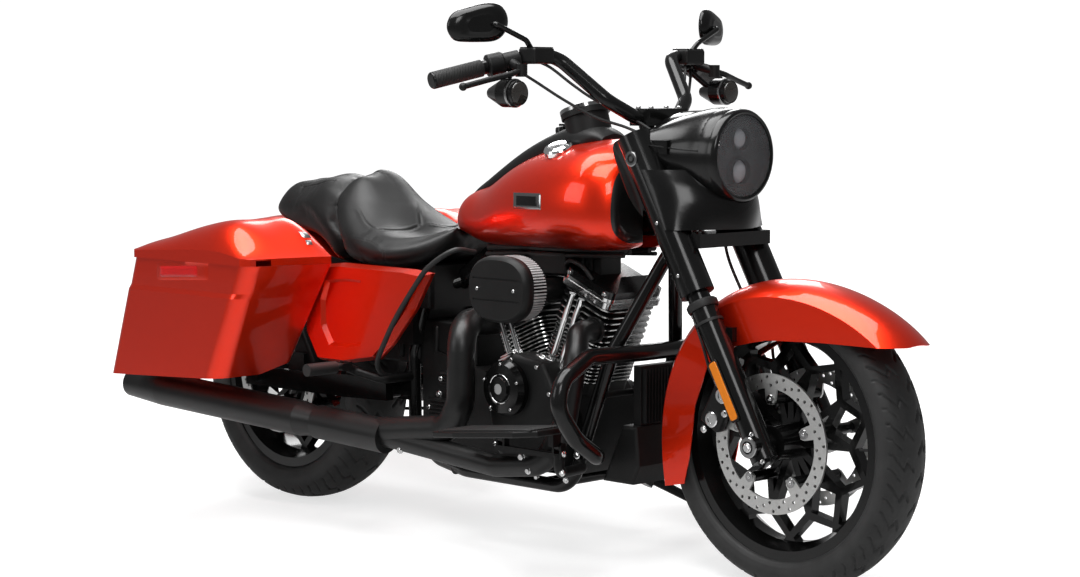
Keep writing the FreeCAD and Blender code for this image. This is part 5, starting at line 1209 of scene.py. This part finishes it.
def rear_dressing():
    tip = around(FENDER_CENTRE, TAIL_REACH, TAIL_TURN)
    away = tip - FENDER_CENTRE
    turned("tail_lens", RED, [(-20, 44.6), (2, 44.6), (8, 40), (11, 24), (11.6, 0.4)], tip, away, 56)
    turned("tail_bezel", DARK_CHROME, [(-26, 44.4), (-26, 47), (-18, 47), (-17, 44.6)], tip, away, 56)
    lenses = Form()
    for side in SIDES:
        lenses.lathe([(-4, 31.4), (0.5, 31), (2.4, 26), (3.2, 0.4)], (-493.6, side * 165, 438.3), BACK,
                     44)
    lenses.piece("rear_signal_lenses", RED)


def board_mat(side):
    """Ribs on the sloping board."""
    ahead = xyz(math.cos(BOARD_SLOPE), 0, math.sin(BOARD_SLOPE))
    up = xyz(-math.sin(BOARD_SLOPE), 0, math.cos(BOARD_SLOPE))
    form = Form()
    for k in range(MAT_RIBS):
        y = side * (MAT_INNER_Y + k * MAT_PITCH)
        start, end = (-174 if k > 8 else -180), 118
        form.slab([BOARD_MIDDLE + ahead * x + xyz(0, y + off, 0) - up * 0.3
                   for x, off in ((start, -3), (end, -3), (end, 3), (start, 3))], 3.6, up)
    form.piece("board_mat_" + SIDES[side], SOFT_RUBBER, "board_" + SIDES[side], bevel=0.8)


rear_dressing()
for side in SIDES:
    board_mat(side)


# Studio
FLOOR_REACH = 60.0
FLOOR_GLOW, FLOOR_SHINE, WORLD_SHINE, WORLD_FILL = 0.70, 0.25, 0.16, 0.10


def floor():
    """A matt floor that glows a little near the machine and turns white further off."""
    n = Look("studio_floor")
    n.shade(Base_Color=n.ramp(n.noise(3, 3), 0.46, 0.50), Roughness=0.8, Specular_IOR_Level=0.1)
    reach = n.add("VectorMath", {0: n.row}, operation="LENGTH").outputs["Value"]
    whiter = n.span(n.span(reach, 0.0, 1.0, 1.6, 5.0), FLOOR_GLOW, 1.0)
    strength = n.math("MULTIPLY", whiter, n.looked_at(FLOOR_SHINE))
    glow = n.add("Emission", {"Strength": strength})
    both = n.add("AddShader", {0: n.shader.outputs["BSDF"], 1: glow.outputs[0]})
    n.feed(n.out.inputs["Surface"], both.outputs[0])
    mesh = bpy.data.meshes.new("studio_floor")
    ends = (-FLOOR_REACH, FLOOR_REACH)
    mesh.from_pydata([(x, y, -0.0005) for x in ends for y in ends], [], [(0, 2, 3, 1)])
    mesh.materials.append(n.material)
    piece = new_thing("studio_floor", mesh)


def world():
    """White to look at, but with little light of its own."""
    studio = bpy.data.worlds.new("studio")
    n = Tree(studio)
    fill = n.add("Background", {"Color": (0.80, 0.80, 0.82), "Strength": WORLD_FILL})
    white = n.add("Background", {"Color": (1, 1, 1), "Strength": 1.0})
    mix = n.add("MixShader", {0: n.looked_at(WORLD_SHINE), 1: fill.outputs[0],
                              2: white.outputs[0]})
    n.add("OutputWorld", {"Surface": mix.outputs[0]})
    bpy.context.scene.world = studio
    bpy.context.scene.view_settings.view_transform = "Standard"


def camera():
    data = bpy.data.cameras.new("photo_camera")
    piece = new_thing("photo_camera", data)
    lean = Matrix.Rotation(-LEAN, 3, "X")
    turn = Matrix([lean @ axis for axis in (RIGHT, UP, -AHEAD)]).transposed()
    piece.matrix_world = Matrix.Translation(placed(CAMERA_AT)) @ turn.to_4x4()
    data.sensor_fit = "HORIZONTAL"
    data.sensor_width = SENSOR
    data.lens = FOCAL / IMAGE_W * SENSOR
    data.shift_x = (IMAGE_W / 2 - MIDDLE_U) / IMAGE_W
    data.shift_y = (MIDDLE_V - IMAGE_H / 2) / IMAGE_W
    bpy.context.scene.camera = piece


def lamp(name, place, target, size, power):
    """A square lamp that looks at a point."""
    data = bpy.data.lights.new(name, "AREA")
    data.shape = "RECTANGLE"
    data.size = data.size_y = size
    data.energy = power
    piece = new_thing(name, data)
    piece.location = place
    piece.rotation_euler = (Vector(target) - piece.location).to_track_quat("-Z", "Y").to_euler()


floor()
camera()
world()
lamp("top", (0.1, -0.5, 3.6), (0, 0, 0.4), 3.0, 255)
lamp("key", (3.0, -2.2, 3.0), (0.2, 0, 0.5), 1.3, 46)
lamp("side", (-1.6, -3.8, 2.6), (-0.2, 0, 0.5), 1.8, 32)
lamp("rim_left", (-2.4, 3.0, 2.6), (0, 0, 0.6), 2.0, 80)
